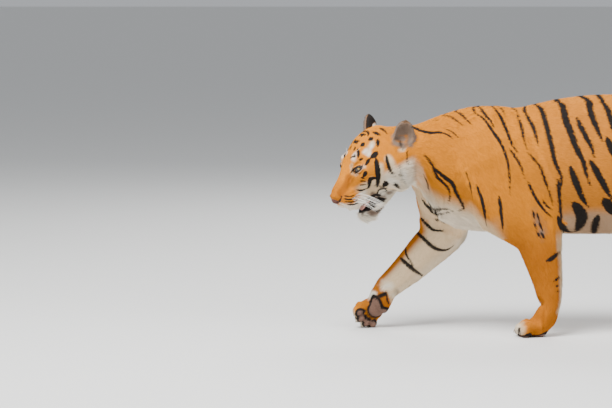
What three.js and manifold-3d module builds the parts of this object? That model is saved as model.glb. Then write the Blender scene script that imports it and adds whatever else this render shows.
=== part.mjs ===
// A life-size Bengal tiger in mid stride: the left forefoot carries the weight, the right forepaw
// swings forward with its sole turned in and lands on its outer toes, and the hind feet follow.
// Millimetres, +Z up. The tiger faces -X and its left side faces -Y. The floor is Z = 0.
//
// The whole animal is one smooth field of flesh: muscles and bones' cover as ellipsoids and
// tapered sweeps, blended together. Each sub-part is a closed loft whose rings are cast from an axis
// out to the surface of that field, trimmed by flat cuts where it meets its neighbours.
import * as THREE from "three";
import { mergeVertices } from "three/addons/utils/BufferGeometryUtils.js";
import Module from "manifold-3d";

const wasm = await Module();
wasm.setup();

// ---------- driving dimensions ----------
const CUT = 0.3; // gap left at every cut between neighbouring sub-parts
const MIDDLE = [51, -1]; // X and Y under the middle of the animal, which becomes the origin
const HEAD_SCALE = 1.05; // a large male: 357 mm from nose to nape
const HEAD_NOSE = [-1032, -118, 566]; // where the tip of the nose is
const HEAD_YAW = 29; // degrees the face turns towards the left side
const HEAD_PITCH = 30; // degrees the face points down
const HEAD_ROLL = -3;
const JAW_OPEN = 20; // degrees, a parted mouth
const EYE_RADIUS = 19.5;
const EAR_SIZE = [43, 28, 76]; // half width, half depth and half height of the ear's shell
const TAIL_THICKNESS = 40; // radius at the root
const SIDES = [
  ["left", -1],
  ["right", 1],
];

// ---------- small helpers ----------
const V = (x, y, z) => new THREE.Vector3(x, y, z);
const rad = THREE.MathUtils.degToRad;
const lerp = THREE.MathUtils.lerp;

// ---------- the field of flesh: negative inside, in millimetres ----------

// Joins two distances with a rounded fillet of about the given width.
function blend(a, b, width) {
  const h = Math.max(width - Math.abs(a - b), 0) / width;
  return Math.min(a, b) - h * h * width * 0.25;
}

// Distance to the skin of a bulge, from the offset to its middle and how far out that is in its radii.
const bulge = (length, share, smallest) =>
  share < 1e-4 ? -smallest : length * (1 - 1 / share);

// A muscle: an ellipsoid, optionally turned by degrees about Y (nose-down positive) and then Z.
function muscle(centre, radii, turnY = 0, turnZ = 0) {
  const inverse = new THREE.Quaternion()
    .setFromEuler(new THREE.Euler(0, rad(turnY), rad(turnZ), "ZYX"))
    .invert();
  const q = V(0, 0, 0);
  return (p) => {
    q.set(p.x - centre[0], p.y - centre[1], p.z - centre[2]).applyQuaternion(inverse);
    const share = Math.hypot(q.x / radii[0], q.y / radii[1], q.z / radii[2]);
    return bulge(q.length(), share, Math.min(...radii));
  };
}

// A tapered sweep through stations [x, y, z, half width, radius on the back side, radius on the front side].
// The section's sides lie along Y. Its back side is the direction (path x Y): up for a path along +X.
function sweep(stations, steps = 5) {
  const value = (i, k) => stations[THREE.MathUtils.clamp(i, 0, stations.length - 1)][k];
  const fine = [];
  for (let i = 0; i < stations.length - 1; i++) {
    for (let s = 0; s < steps + (i === stations.length - 2 ? 1 : 0); s++) {
      const t = s / steps;
      fine.push(
        stations[0].map((_, k) => {
          const [a, b, c, d] = [value(i - 1, k), value(i, k), value(i + 1, k), value(i + 2, k)];
          const [linear, square, cube] = [c - a, 2 * a - 5 * b + 4 * c - d, 3 * b - a - 3 * c + d];
          return 0.5 * (2 * b + linear * t + square * t * t + cube * t ** 3);
        }),
      );
    }
  }
  const spans = fine.slice(1).map((b, i) => {
    const a = fine[i];
    const along = V(b[0] - a[0], b[1] - a[1], b[2] - a[2]);
    const length = along.length();
    along.normalize();
    const back = V(-along.z, 0, along.x).normalize(); // along x Y
    const side = back.clone().cross(along).normalize();
    return { a, b, along, back, side, length };
  });
  return (p) => {
    let best = Infinity;
    for (const { a, b, along, back, side, length } of spans) {
      const [x, y, z] = [p.x - a[0], p.y - a[1], p.z - a[2]];
      const t = THREE.MathUtils.clamp((x * along.x + y * along.y + z * along.z) / length, 0, 1);
      const [qx, qy, qz] = [x - along.x * length * t, y - along.y * length * t, z - along.z * length * t];
      const out = Math.hypot(qx, qy, qz);
      const width = lerp(a[3], b[3], t);
      const behind = lerp(a[4], b[4], t);
      const before = lerp(a[5], b[5], t);
      if (out - Math.max(width, behind, before) > best) continue;
      const n = qx * back.x + qz * back.z;
      const s = qx * side.x + qy * side.y + qz * side.z;
      const l = qx * along.x + qy * along.y + qz * along.z;
      const depth = n > 0 ? behind : before;
      const share = Math.hypot(s / width, n / depth, l / ((width + behind + before) / 3));
      best = Math.min(best, bulge(out, share, Math.min(width, behind, before)));
    }
    return best;
  };
}

const join = (fields, width) => (p) => fields.map((f) => f(p)).reduce((a, b) => blend(a, b, width));

// A field built in its own frame and placed by a matrix. Beyond its reach only a rough distance is needed.
function placed(field, matrix, middle, reach) {
  const inverse = matrix.clone().invert();
  const centre = middle.clone().applyMatrix4(matrix);
  const q = V(0, 0, 0);
  return (p) => {
    const away = p.distanceTo(centre) - reach;
    return away > 120 ? away : field(q.copy(p).applyMatrix4(inverse));
  };
}

// ---------- trunk, neck and tail ----------
// Stations [x, top line, underline, half width].
const TRUNK = [
  [-596, 800, 496, 78],
  [-540, 868, 440, 122],
  [-472, 900, 408, 152],
  [-400, 912, 402, 166],
  [-320, 897, 400, 180],
  [-200, 919, 398, 196],
  [-60, 948, 394, 208],
  [90, 958, 394, 206],
  [230, 956, 404, 192],
  [350, 944, 436, 172],
  [450, 920, 520, 150],
  [540, 872, 620, 108],
];
const trunkField = sweep(
  TRUNK.map(([x, top, under, half]) => {
    const middle = lerp(under, top, 0.47);
    return [x, 0, middle, half, top - middle, middle - under];
  }),
);

const NECK = [
  [-420, 0, 700, 110, 150, 190],
  [-520, -6, 690, 118, 160, 190],
  [-610, -16, 690, 108, 152, 172],
  [-690, -30, 692, 98, 140, 138],
  [-760, -46, 690, 88, 124, 112],
];
// The neck runs towards -X, so its front radius is the upper one.
const neckField = sweep(NECK.map(([x, y, z, half, up, down]) => [x, y, z, half, down, up]));

const TAIL = [
  [520, 0, 800],
  [600, 0, 806],
  [690, 4, 730],
  [760, 12, 600],
  [810, 24, 450],
  [862, 36, 316],
  [950, 44, 236],
  [1052, 46, 240],
  [1120, 42, 300],
].map(([x, y, z], i, all) => {
  const radius = TAIL_THICKNESS * lerp(1, 0.6, i / (all.length - 1)) * (i < 2 ? 1.2 : 1);
  return [x, y, z, radius, radius, radius];
});
const tailField = sweep(TAIL);

// ---------- legs ----------
// Each leg's stations run downwards, so the back radius is on the +X side.
const LEGS = {
  foreleg_left: [
    [-405, -88, 800, 42, 92, 88],
    [-452, -112, 690, 58, 108, 96],
    [-480, -128, 590, 66, 112, 92],
    [-376, -134, 510, 70, 112, 104],
    [-236, -134, 432, 67, 102, 104],
    [-206, -132, 345, 59, 86, 84],
    [-187, -129, 266, 50, 70, 70],
    [-172, -127, 186, 43, 57, 56],
    [-172, -126, 127, 41, 50, 50],
    [-182, -125, 82, 44, 47, 46],
  ],
  foreleg_right: [
    [-470, 92, 780, 42, 92, 90],
    [-548, 112, 690, 56, 104, 96],
    [-618, 124, 600, 62, 104, 78],
    [-604, 126, 500, 66, 104, 84],
    [-560, 124, 410, 66, 92, 96],
    [-642, 120, 318, 60, 80, 82],
    [-718, 114, 242, 52, 68, 68],
    [-782, 108, 182, 43, 52, 60],
    [-822, 102, 148, 41, 50, 58],
  ],
  hindleg_left: [
    [505, -80, 790, 70, 110, 120],
    [490, -108, 700, 80, 150, 140],
    [455, -128, 600, 80, 142, 122],
    [440, -140, 500, 72, 112, 100],
    [505, -138, 408, 58, 86, 80],
    [604, -132, 322, 45, 60, 58],
    [700, -130, 254, 38, 46, 46],
    [742, -129, 214, 36, 38, 40],
    [746, -128, 140, 35, 37, 37],
    [734, -127, 80, 38, 38, 38],
  ],
  hindleg_right: [
    [500, 80, 790, 70, 110, 120],
    [460, 108, 700, 80, 150, 140],
    [392, 126, 600, 80, 136, 122],
    [320, 136, 500, 72, 108, 98],
    [326, 134, 410, 58, 88, 74],
    [378, 128, 320, 45, 62, 54],
    [418, 126, 240, 38, 46, 44],
    [402, 126, 170, 35, 38, 38],
    [378, 125, 110, 35, 36, 36],
    [366, 124, 72, 38, 38, 38],
  ],
};

// ---------- paws ----------
// A paw in its own frame: +X forward, +Y to the tiger's left, sole at Z = 0 under the main pad.
function pawField(wristBack, wristHeight) {
  const toes = [-1, -0.36, 0.36, 1].map((share) => {
    const y = 43 * share;
    const tip = Math.abs(share) < 0.5 ? 78 : 64;
    return join(
      [
        sweep([
          [10, y * 0.7, 38, 19, 22, 20],
          [tip - 34, y * 0.95, 45, 20, 20, 22],
          [tip - 10, y * 1.03, 34, 19, 20, 20],
          [tip, y * 1.05, 23, 16, 17, 16],
        ]),
        muscle([tip - 12, y, 12], [19, 14, 15]),
      ],
      8,
    );
  });
  const back = join(
    [
      sweep([
        [-wristBack, 0, wristHeight, 40, 42, 42],
        [-wristBack * 0.62, 0, wristHeight * 0.58, 48, 40, 40],
        [-8, 0, 40, 54, 34, 30],
        [20, 0, 38, 54, 29, 26],
      ]),
      muscle([-6, 0, 15], [42, 46, 20]),
    ],
    16,
  );
  return (p) => blend(back(p), Math.min(...toes.map((f) => f(p))), 9);
}

// Where each paw stands: the middle of its main pad, and its turns in degrees (yaw, pitch, roll).
const PAWS = {
  forepaw_left: { at: [-226, -124, 0], yaw: 4, pitch: 0, roll: 0, wristBack: 48, wristHeight: 96 },
  forepaw_right: { at: [-858, 96, 64], yaw: -6, pitch: 44, roll: 62, wristBack: 60, wristHeight: 40 },
  hindpaw_left: { at: [706, -126, 0], yaw: 4, pitch: 0, roll: 0, wristBack: 20, wristHeight: 86 },
  hindpaw_right: { at: [340, 124, 0], yaw: -4, pitch: 0, roll: 0, wristBack: 24, wristHeight: 84 },
};
const pawMatrix = ({ at, yaw, pitch, roll }) =>
  new THREE.Matrix4()
    .makeRotationFromEuler(new THREE.Euler(rad(roll), rad(pitch), rad(180 + yaw), "ZYX"))
    .setPosition(...at);
for (const paw of Object.values(PAWS)) {
  paw.matrix = pawMatrix(paw);
  paw.field = placed(pawField(paw.wristBack, paw.wristHeight), paw.matrix, V(10, 0, 40), 110);
}

// ---------- head, in its own frame: +X to the nose, +Y left, +Z up, nose tip at the origin ----------
const headMatrix = new THREE.Matrix4()
  .makeRotationFromEuler(new THREE.Euler(rad(HEAD_ROLL), rad(HEAD_PITCH), rad(180 + HEAD_YAW), "ZYX"))
  .scale(V(HEAD_SCALE, HEAD_SCALE, HEAD_SCALE))
  .setPosition(...HEAD_NOSE);
const EYE = [-125, 50, 44];

const both = (make) => [make(1), make(-1)];
const skullField = join(
  [
    sweep([
      [-300, 0, 20, 96, 88, 112],
      [-235, 0, 20, 100, 102, 120],
      [-180, 0, 14, 86, 90, 108],
      [-140, 0, 6, 66, 72, 92],
      [-104, 0, -4, 48, 60, 78],
      [-64, 0, -16, 38, 50, 62],
      [-26, 0, -20, 28, 36, 42],
    ]),
    muscle([-250, 0, 54], [104, 68, 74]),
    ...both((s) => muscle([-218, 70 * s, -6], [78, 50, 58])),
    ...both((s) => muscle([-280, 82 * s, -38], [74, 56, 66])),
    muscle([-250, 0, -62], [90, 80, 44]),
  ],
  26,
);
// The whisker pads, and the blunt block of the nose between and above them.
const muzzleField = join(
  [
    ...both((s) => muscle([-48, 27 * s, -45], [46, 26, 36], 8, 14 * s)),
    ...both((s) => muscle([-58, 34 * s, -76], [42, 18, 28])), // the lips hang over the jaw's edge
    ...both((s) => muscle([-128, 39 * s, -84], [40, 13, 30])),
    muscle([-10, 0, -15], [18, 25, 24]),
  ],
  10,
);
const browField = join(
  both((s) => muscle([-142, 38 * s, 68], [32, 22, 15], -24)),
  6,
);
const orbitField = join(
  both((s) => muscle([-111, 74 * s, 48], [27, 20, 16])),
  4,
);
const headShape = (p) => {
  const face = blend(blend(skullField(p), muzzleField(p), 14), browField(p), 16);
  return -blend(-face, orbitField(p), 6); // the orbits are hollowed out of the face
};
const headField = placed(headShape, headMatrix, V(-180, 0, 0), 220);

const JAW_HINGE = [-260, 0, -30];
const jawMatrix = headMatrix
  .clone()
  .multiply(new THREE.Matrix4().makeTranslation(...JAW_HINGE))
  .multiply(new THREE.Matrix4().makeRotationY(rad(JAW_OPEN)))
  .multiply(new THREE.Matrix4().makeTranslation(...JAW_HINGE.map((x) => -x)));
const jawShape = join(
  [
    sweep([
      [-225, 0, -66, 66, 16, 58],
      [-150, 0, -66, 55, 13, 55],
      [-95, 0, -70, 44, 14, 50],
      [-64, 0, -74, 33, 19, 46],
    ]),
    muscle([-64, 0, -88], [28, 33, 35]),
    ...both((s) => muscle([-166, 41 * s, -58], [38, 15, 36])), // the corners of the mouth
  ],
  12,
);
const jawField = placed(jawShape, jawMatrix, V(-130, 0, -100), 140);

// ---------- the whole animal ----------
const legFields = Object.fromEntries(Object.entries(LEGS).map(([name, stations]) => [name, sweep(stations)]));
const torso = (p) => blend(trunkField(p), neckField(p), 90);

// ---------- solids ----------

// A closed mesh as a manifold solid.
function solid(geometry) {
  const bare = geometry.clone();
  bare.deleteAttribute("normal");
  bare.deleteAttribute("uv");
  const merged = mergeVertices(bare, 1e-3);
  return new wasm.Manifold(
    new wasm.Mesh({
      numProp: 3,
      vertProperties: new Float32Array(merged.attributes.position.array),
      triVerts: new Uint32Array(merged.index.array),
    }),
  );
}

// A loft whose rays leave an axis curve and stop at the field's skin. Both ends are rounded by turning
// the rays from the axis's end to square across it. CAPS is the share of the rings spent on each end.
const CAPS = 0.16;
function cast(axisPoints, field, around, along, reach, grown = 0) {
  const curve = new THREE.CatmullRomCurve3(axisPoints.map((q) => V(...q)), false, "centripetal");
  const geometry = new THREE.SphereGeometry(1, around, along);
  const { position, uv } = geometry.attributes;
  const p = V(0, 0, 0);
  for (let i = 0; i < position.count; i++) {
    const down = 1 - uv.getY(i); // 0 at the axis's start, 1 at its end
    const turn = ((Math.round(uv.getX(i) * around) % around) / around) * Math.PI * 2;
    const t = THREE.MathUtils.clamp((down - CAPS) / (1 - 2 * CAPS), 0, 1);
    const opening = THREE.MathUtils.clamp(down / CAPS, 0, 1);
    const closing = THREE.MathUtils.clamp((down - 1 + CAPS) / CAPS, 0, 1);
    const tilt = (opening + closing) * 90;
    const origin = curve.getPointAt(t);
    const tangent = curve.getTangentAt(t);
    const up = Math.abs(tangent.z) > 0.92 ? V(1, 0, 0) : V(0, 0, 1);
    const side = tangent.clone().cross(up).normalize();
    const over = side.clone().cross(tangent).normalize();
    const pole = tilt < 0.01 || tilt > 179.99;
    const ray = tangent
      .clone()
      .multiplyScalar(-Math.cos(rad(tilt)))
      .addScaledVector(side, pole ? 0 : Math.sin(rad(tilt)) * Math.cos(turn))
      .addScaledVector(over, pole ? 0 : Math.sin(rad(tilt)) * Math.sin(turn))
      .normalize();
    let far = 2;
    for (let step = 0; step < 60; step++) {
      const gap = field(p.copy(origin).addScaledVector(ray, far)) - grown;
      if (Math.abs(gap) < 0.02 || far >= reach) break;
      far = Math.max(0.5, far - gap * 0.85);
    }
    far = Math.min(far, reach);
    p.copy(origin).addScaledVector(ray, far);
    position.setXYZ(i, p.x, p.y, p.z);
  }
  const made = solid(geometry);
  return made.volume() < 0 ? solid(flipped(geometry)) : made;
}

function flipped(geometry) {
  const other = geometry.clone();
  const index = other.index.array;
  for (let i = 0; i < index.length; i += 3) [index[i + 1], index[i + 2]] = [index[i + 2], index[i + 1]];
  return other;
}

// Keeps what lies on the far side of a plane through a point, clear of it by half a cut.
function beyond(part, [point, normal], grown = 0) {
  const n = V(...normal).normalize();
  return part.trimByPlane(n.toArray(), V(...point).dot(n) + CUT / 2 - grown);
}
const before = (part, [point, normal], grown = 0) => beyond(part, [point, normal.map((x) => -x)], grown);

// Cuts between sub-parts, each a point and the direction in which the body goes on.
const NECK_TO_TRUNK = [[-585, 0, 680], [1, 0, -0.1]];
const TRUNK_TO_TAIL = [[592, 0, 805], [1, 0, -0.35]];
const TAIL_CUTS = [
  [[790, 20, 510], [0.3, 0, -1]],
  [[980, 45, 236], [1, 0, 0]],
];


// ---------- build ----------
const leftRight = (name) => (name.includes("left") ? -1 : 1);
const spine = (p) => blend(blend(torso(p), headField(p), 50), tailField(p), 40);
const floor = (part) => part.trimByPlane([0, 0, 1], 0);
const between = (part, from, to, grown) => before(beyond(part, from, grown), to, grown);
const at = (matrix, q) => V(...q).applyMatrix4(matrix).toArray();

const parts = {};
const rooms = {};

// Keeps a sub-part and the slightly larger room it needs, so that its neighbours can be cut clear of it.
function place(name, make, clearOf = []) {
  const clear = (part) => clearOf.reduce((rest, other) => rest.subtract(rooms[other]), part);
  parts[name] = clear(make(0));
  rooms[name] = make(CUT);
}

const TRUNK_AXIS = [[-560, 0, 650], [-300, 0, 650], [100, 0, 680], [500, 0, 770]];
place("trunk", (grown) =>
  between(cast(TRUNK_AXIS, spine, 24, 18, 420, grown), NECK_TO_TRUNK, TRUNK_TO_TAIL, grown),
);

const HEAD_PLANE = [at(headMatrix, [-306, 0, 0]), V(-1, 0, 0).transformDirection(headMatrix).toArray()];
const NECK_AXIS = [[-430, 0, 680], [-600, -14, 695], [-740, -44, 700]];
place("neck", (grown) =>
  between(cast(NECK_AXIS, spine, 24, 11, 330, grown), HEAD_PLANE, NECK_TO_TRUNK, grown),
);

const headAxis = [[-262, 0, 14], [-180, 0, 14], [-60, 0, -16]].map((q) => at(headMatrix, q));
const headOnly = (p) => blend(torso(p), headField(p), 50);
for (const [side, s] of SIDES) {
  place(`eye_${side}`, (grown) =>
    solid(
      new THREE.SphereGeometry(EYE_RADIUS + grown, 10, 8)
        .translate(EYE[0], -s * EYE[1], EYE[2])
        .applyMatrix4(headMatrix),
    ),
  );
}
place("head", (grown) => before(cast(headAxis, headOnly, 22, 23, 172, grown), HEAD_PLANE, grown), [
  "eye_left",
  "eye_right",
]);

const jawAxis = [[-200, 0, -70], [-60, 0, -74]].map((q) => at(jawMatrix, q));
place("jaw", (grown) => cast(jawAxis, jawField, 16, 12, 120, grown), ["head", "neck"]);

place(
  "tongue",
  (grown) =>
    solid(
      new THREE.SphereGeometry(1, 8, 6)
        .scale(58 + grown, 24 + grown, 10 + grown)
        .translate(-106, 0, -51)
        .applyMatrix4(jawMatrix),
    ),
  ["head", "jaw"],
);
const tail = (from, to, along, grown) =>
  cast(TAIL.slice(from, to).map((q) => q.slice(0, 3)), tailField, 10, along, 85, grown);
place("tail_base", (grown) => between(tail(0, 5, 10, grown), TRUNK_TO_TAIL, TAIL_CUTS[0], grown));
place("tail_middle", (grown) => between(tail(1, 8, 13, grown), ...TAIL_CUTS, grown));
place("tail_tip", (grown) => beyond(tail(5, 9, 8, grown), TAIL_CUTS[1], grown));

// Limbs. Each is a chain of straight axes from the trunk to its last joint. Neighbours are mitred at
// the joints, and each piece's axis runs on past them by OVERRUN before the cut is made.
const LIMBS = {
  foreleg_left: [[-440, -100, 780], [-250, -133, 432], [-176, -126, 98]],
  foreleg_right: [[-520, 100, 780], [-575, 124, 405], [-812, 104, 156]],
  hindleg_left: [[500, -90, 770], [450, -138, 470], [728, -129, 232], [736, -127, 92]],
  hindleg_right: [[490, 90, 770], [330, 136, 470], [412, 126, 236], [372, 124, 92]],
};
const OVERRUN = 40;
for (const [name, joints] of Object.entries(LIMBS)) {
  const pawName = name.replace("leg", "paw");
  const paw = PAWS[pawName];
  const s = leftRight(name);
  const points = joints.map((q) => V(...q));
  const ways = points.slice(1).map((q, i) => q.clone().sub(points[i]).normalize());
  const cuts = ways.map((way, i) => [joints[i + 1], way.clone().add(ways[i + 1] ?? way).toArray()]);
  const limb = (p) => blend(legFields[name](p), paw.field(p), 22);
  const own = (p) => blend(legFields[name](p), spine(p), 55);
  const around = ["trunk", "neck", "head", "tail_base"];
  const runOn = (q, way, by) => q.clone().addScaledVector(way, by).toArray();
  place(
    `${name}_upper`,
    (grown) => {
      const axis = [joints[0], runOn(points[1], ways[0], OVERRUN)];
      return before(cast(axis, own, 14, 11, 175, grown), cuts[0], grown).trimByPlane([0, s, 0], CUT / 2);
    },
    around,
  );
  ["lower", "foot"].slice(0, ways.length - 1).forEach((piece, i) => {
    const way = ways[i + 1];
    const axis = [runOn(points[i + 1], way, -OVERRUN), runOn(points[i + 2], way, OVERRUN)];
    const rings = i ? 8 : 12;
    place(
      `${name}_${piece}`,
      (grown) => {
        const whole = cast(axis, i ? legFields[name] : own, 12, rings, 150, grown);
        return between(whole, cuts[i], cuts[i + 1], grown);
      },
      around,
    );
  });
  const underfoot = [[-paw.wristBack * 0.85, 0, 30 + paw.wristHeight * 0.3], [0, 0, 38], [44, 0, 28]];
  const axis = underfoot.map((q) => at(paw.matrix, q));
  place(pawName, (grown) => floor(beyond(cast(axis, limb, 17, 12, 110, grown), cuts.at(-1), grown)));
}

const EAR_AXES = (s) => {
  const tip = V(-0.45, 0.215 * s, 0.87).normalize();
  const open = V(0.55, 0.8 * s, 0.09);
  open.addScaledVector(tip, -open.dot(tip)).normalize();
  return headMatrix
    .clone()
    .multiply(new THREE.Matrix4().makeTranslation(-313, 117 * s, 64))
    .multiply(new THREE.Matrix4().makeBasis(open, tip.clone().cross(open), tip));
};
for (const [side, s] of [["left", 1], ["right", -1]]) {
  const [w, d, h] = EAR_SIZE;
  const egg = (around, along, radii, shift) => {
    const ball = new THREE.SphereGeometry(1, around, along).scale(...radii).translate(...shift);
    return solid(ball.applyMatrix4(EAR_AXES(s)));
  };
  place(
    `ear_${side}`,
    (grown) =>
      egg(12, 8, [d + grown, w + grown, h + grown], [0, 0, 0]).subtract(
        egg(10, 6, [d * 0.85, w * 0.82, h * 0.86], [12, 0, 4]),
      ),
    ["head", "neck"],
  );
}

// ---------- finishes ----------
// Each is a colour, a roughness and, for the eyes, a clear coat.
const finish = (name, color, roughness, clearcoat = 0) =>
  new THREE.MeshPhysicalMaterial({ name, color, roughness, metalness: 0, clearcoat });
const coat = finish("coat", 0xc47a35, 0.85);
const darkCoat = finish("coat_dark", 0x5e4a3c, 0.9);
const paleCoat = finish("coat_pale", 0xd8c7ab, 0.85);
const amber = finish("eye", 0xb07a2a, 0.12, 1);
const flesh = finish("tongue", 0xc9837a, 0.45);
const FINISHES = {
  eye_left: amber,
  eye_right: amber,
  ear_left: darkCoat,
  ear_right: darkCoat,
  jaw: paleCoat,
  tongue: flesh,
};

const made = new THREE.Group();
made.name = "bengal_tiger";
for (const [name, part] of Object.entries(parts)) {
  const bits = part.decompose().sort((a, b) => b.volume() - a.volume());
  const { vertProperties, triVerts } = bits[0].getMesh();
  const geometry = new THREE.BufferGeometry();
  geometry.setAttribute("position", new THREE.BufferAttribute(new Float32Array(vertProperties), 3));
  geometry.setIndex(new THREE.BufferAttribute(new Uint32Array(triVerts), 1));
  geometry.translate(-MIDDLE[0], -MIDDLE[1], 0);
  geometry.computeVertexNormals();
  const mesh = new THREE.Mesh(geometry, FINISHES[name] ?? coat);
  mesh.name = name;
  made.add(mesh);
}
export default made;
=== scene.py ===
"""A still, life-size Bengal tiger in mid stride: one skin over the fixed flesh, and its coat."""
import math

import bmesh
import bpy
import numpy as np
from mathutils import Matrix, Vector
from mathutils.bvhtree import BVHTree
from mathutils.kdtree import KDTree


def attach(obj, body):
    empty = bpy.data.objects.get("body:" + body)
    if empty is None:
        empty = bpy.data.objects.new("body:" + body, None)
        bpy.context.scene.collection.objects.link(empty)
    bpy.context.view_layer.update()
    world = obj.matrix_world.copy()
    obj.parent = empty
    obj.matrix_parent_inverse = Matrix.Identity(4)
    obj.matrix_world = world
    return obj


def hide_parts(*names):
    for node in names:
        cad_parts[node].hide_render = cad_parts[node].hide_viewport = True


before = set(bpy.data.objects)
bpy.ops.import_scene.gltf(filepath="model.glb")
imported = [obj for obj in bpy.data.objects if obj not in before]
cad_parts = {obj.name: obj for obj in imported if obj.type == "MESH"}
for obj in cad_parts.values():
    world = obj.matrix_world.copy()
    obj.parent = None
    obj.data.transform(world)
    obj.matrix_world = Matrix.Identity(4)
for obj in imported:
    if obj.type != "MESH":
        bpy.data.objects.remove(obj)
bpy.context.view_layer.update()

bl_info = {
    "name": "Bengal Tiger",
    "version": (1, 0, 0),
    "blender": (4, 5, 0),
    "location": "View3D > Sidebar > Tiger",
    "description": "Makes the skin, coat, eyes, mouth and claws of a life-size tiger",
    "category": "Object",
}

SEED = 7
CLEAR = 0.0005  # the lowest that skin and fur reach over the floor
CUT = 0.0012  # swelling that closes the cuts between the solids, and is taken off again
MM = 0.001
BALLS = ("eye_left", "eye_right")
SOFT = [n for n in sorted(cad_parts) if n not in BALLS and n != "tongue"]
PARTS = np.array(SOFT + list(BALLS))  # an owner's number is its place in this list

# The head's own frame: +X to the nose, +Y to the tiger's left, +Z up, nose tip at the origin.
HEAD_SCALE = 1.05
HEAD = (
    Matrix.Translation((-1.083, -0.117, 0.566))
    @ Matrix.Rotation(math.radians(209), 4, "Z")
    @ Matrix.Rotation(math.radians(30), 4, "Y")
    @ Matrix.Rotation(math.radians(-3), 4, "X")
    @ Matrix.Scale(HEAD_SCALE, 4)
)
HEAD_TURN = np.array(HEAD.to_3x3()) / HEAD_SCALE
EYE = (-0.126, 0.0465, 0.043)
EYE_RADIUS = 0.0195
JAW_HINGE = (-0.260, 0, -0.030)
JAW = (
    HEAD
    @ Matrix.Translation(JAW_HINGE)
    @ Matrix.Rotation(math.radians(20), 4, "Y")
    @ Matrix.Translation([-x for x in JAW_HINGE])
)


# ---------- sizes and colours that a user may change ----------
def length(name, description, metres):
    return bpy.props.FloatProperty(
        name=name, description=description, default=metres, min=0, unit="LENGTH", precision=4
    )


def colour(name, description, rgb):
    return bpy.props.FloatVectorProperty(
        name=name, description=description, default=rgb, size=3, min=0, max=1, subtype="COLOR"
    )


class TigerSkinSizes(bpy.types.PropertyGroup):
    voxel: length("Skin detail", "Size of the skin's faces on the body", 0.0111)
    head_detail: bpy.props.FloatProperty(
        name="Head detail", description="How many times finer the head's faces are", default=2.2, min=1
    )
    depth_body: length("Coat over the body", "How deep the skin lies under the coat's tips", 0.0045)
    depth_face: length("Coat over the face", "How deep the skin lies under the face's fur", 0.0020)
    depth_legs: length("Coat over the legs", "How deep the skin lies on the lower legs and paws", 0.0030)


class TigerColours(bpy.types.PropertyGroup):
    orange: colour("Orange", "Ground colour of the back and flanks", (0.67, 0.235, 0.008))
    # Its darkness also carries the painted shade low on the forelegs.
    rich: colour("Rich orange", "Shoulder and forehead", (0.36, 0.105, 0.005))
    cream: colour("Cream", "Cheeks and the insides of the legs", (0.70, 0.55, 0.37))
    white: colour("White", "Brows, ruff, chin and belly", (0.80, 0.76, 0.68))
    black: colour("Black", "Stripes", (0.017, 0.013, 0.011))
    # Also painted shade on the lower cheeks and the side of the jaw.
    grey: colour("Grey-brown", "Insides of the ears and the worn elbow", (0.20, 0.145, 0.115))
    leather: colour("Nose leather", "Tip of the nose", (0.13, 0.052, 0.038))
    pad: colour("Pads", "Soles of the feet", (0.15, 0.082, 0.058))
    tongue: colour("Tongue", "Tongue", (0.60, 0.22, 0.17))
    iris: colour("Iris", "Colour of the eye", (0.62, 0.34, 0.06))
    claw: colour("Claw", "Claws", (0.50, 0.44, 0.35))


class TigerCoatSizes(bpy.types.PropertyGroup):
    tufts: bpy.props.IntProperty(
        name="Short tufts", description="How many short tufts cover the body", default=225000, min=1000
    )
    long_tufts: bpy.props.IntProperty(
        name="Long tufts", description="How many locks stand where the coat is deep", default=42000, min=100
    )
    flat: length("Body fur", "Length of a tuft on the flanks", 0.0135)
    width: length("Tuft width", "Width of a tuft on the flanks", 0.0034)


# ---------- small array helpers ----------
def unit(rows):
    return rows / np.maximum(np.linalg.norm(rows, axis=-1, keepdims=True), 1e-12)


def smoothstep(low, high, x):
    t = np.clip((x - low) / (high - low), 0, 1)
    return t * t * (3 - 2 * t)


def through(matrix, points):
    m = np.array(matrix)
    return points @ m[:3, :3].T + m[:3, 3]


def into(matrix, points):
    return through(matrix.inverted(), points)


def spread(edges, count):
    """A function that averages a per-vertex array over each vertex's neighbours."""
    a, b = edges[:, 0], edges[:, 1]
    share = np.maximum(np.bincount(a, minlength=count) + np.bincount(b, minlength=count), 1)

    def mean(values):
        columns = [
            (np.bincount(a, values[b, k], count) + np.bincount(b, values[a, k], count)) / share
            for k in range(values.shape[1])
        ]
        return np.stack(columns, 1)

    return mean


def relax(points, mean, rounds, weight=1.0):
    """Smooths a surface without shrinking it."""
    for _ in range(rounds):
        for step in (0.5, -0.53):
            points = points + (mean(points) - points) * (step * weight)
    return points


def vertex_normals(points, faces):
    tri = np.vstack([faces[:, [0, 1, 2]], faces[:, [0, 2, 3]]]) if faces.shape[1] == 4 else faces
    cross = np.cross(points[tri[:, 1]] - points[tri[:, 0]], points[tri[:, 2]] - points[tri[:, 0]])
    total = np.stack(
        [sum(np.bincount(tri[:, i], cross[:, k], len(points)) for i in range(3)) for k in range(3)], 1
    )
    return unit(total)


def coordinates(mesh):
    flat = np.empty(len(mesh.vertices) * 3, np.float32)
    mesh.vertices.foreach_get("co", flat)
    return flat.reshape(-1, 3).astype(float)


def edges_of(mesh):
    flat = np.empty(len(mesh.edges) * 2, np.int32)
    mesh.edges.foreach_get("vertices", flat)
    return flat.reshape(-1, 2)


def set_coordinates(mesh, points):
    mesh.vertices.foreach_set("co", points.astype(np.float32).ravel())
    mesh.update()


def triangles_of(mesh):
    mesh.calc_loop_triangles()
    flat = np.empty(len(mesh.loop_triangles) * 3, np.int32)
    mesh.loop_triangles.foreach_get("vertices", flat)
    return flat.reshape(-1, 3)


def put(name, mesh):
    piece = bpy.data.objects.new(name, mesh)
    bpy.context.scene.collection.objects.link(piece)
    return piece


# ---------- lenses for an even remesh ----------
LENS = through(HEAD, np.array([[-0.15, 0, -0.02]]))[0]  # middle of the head
LENS_REACH = 0.19


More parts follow.
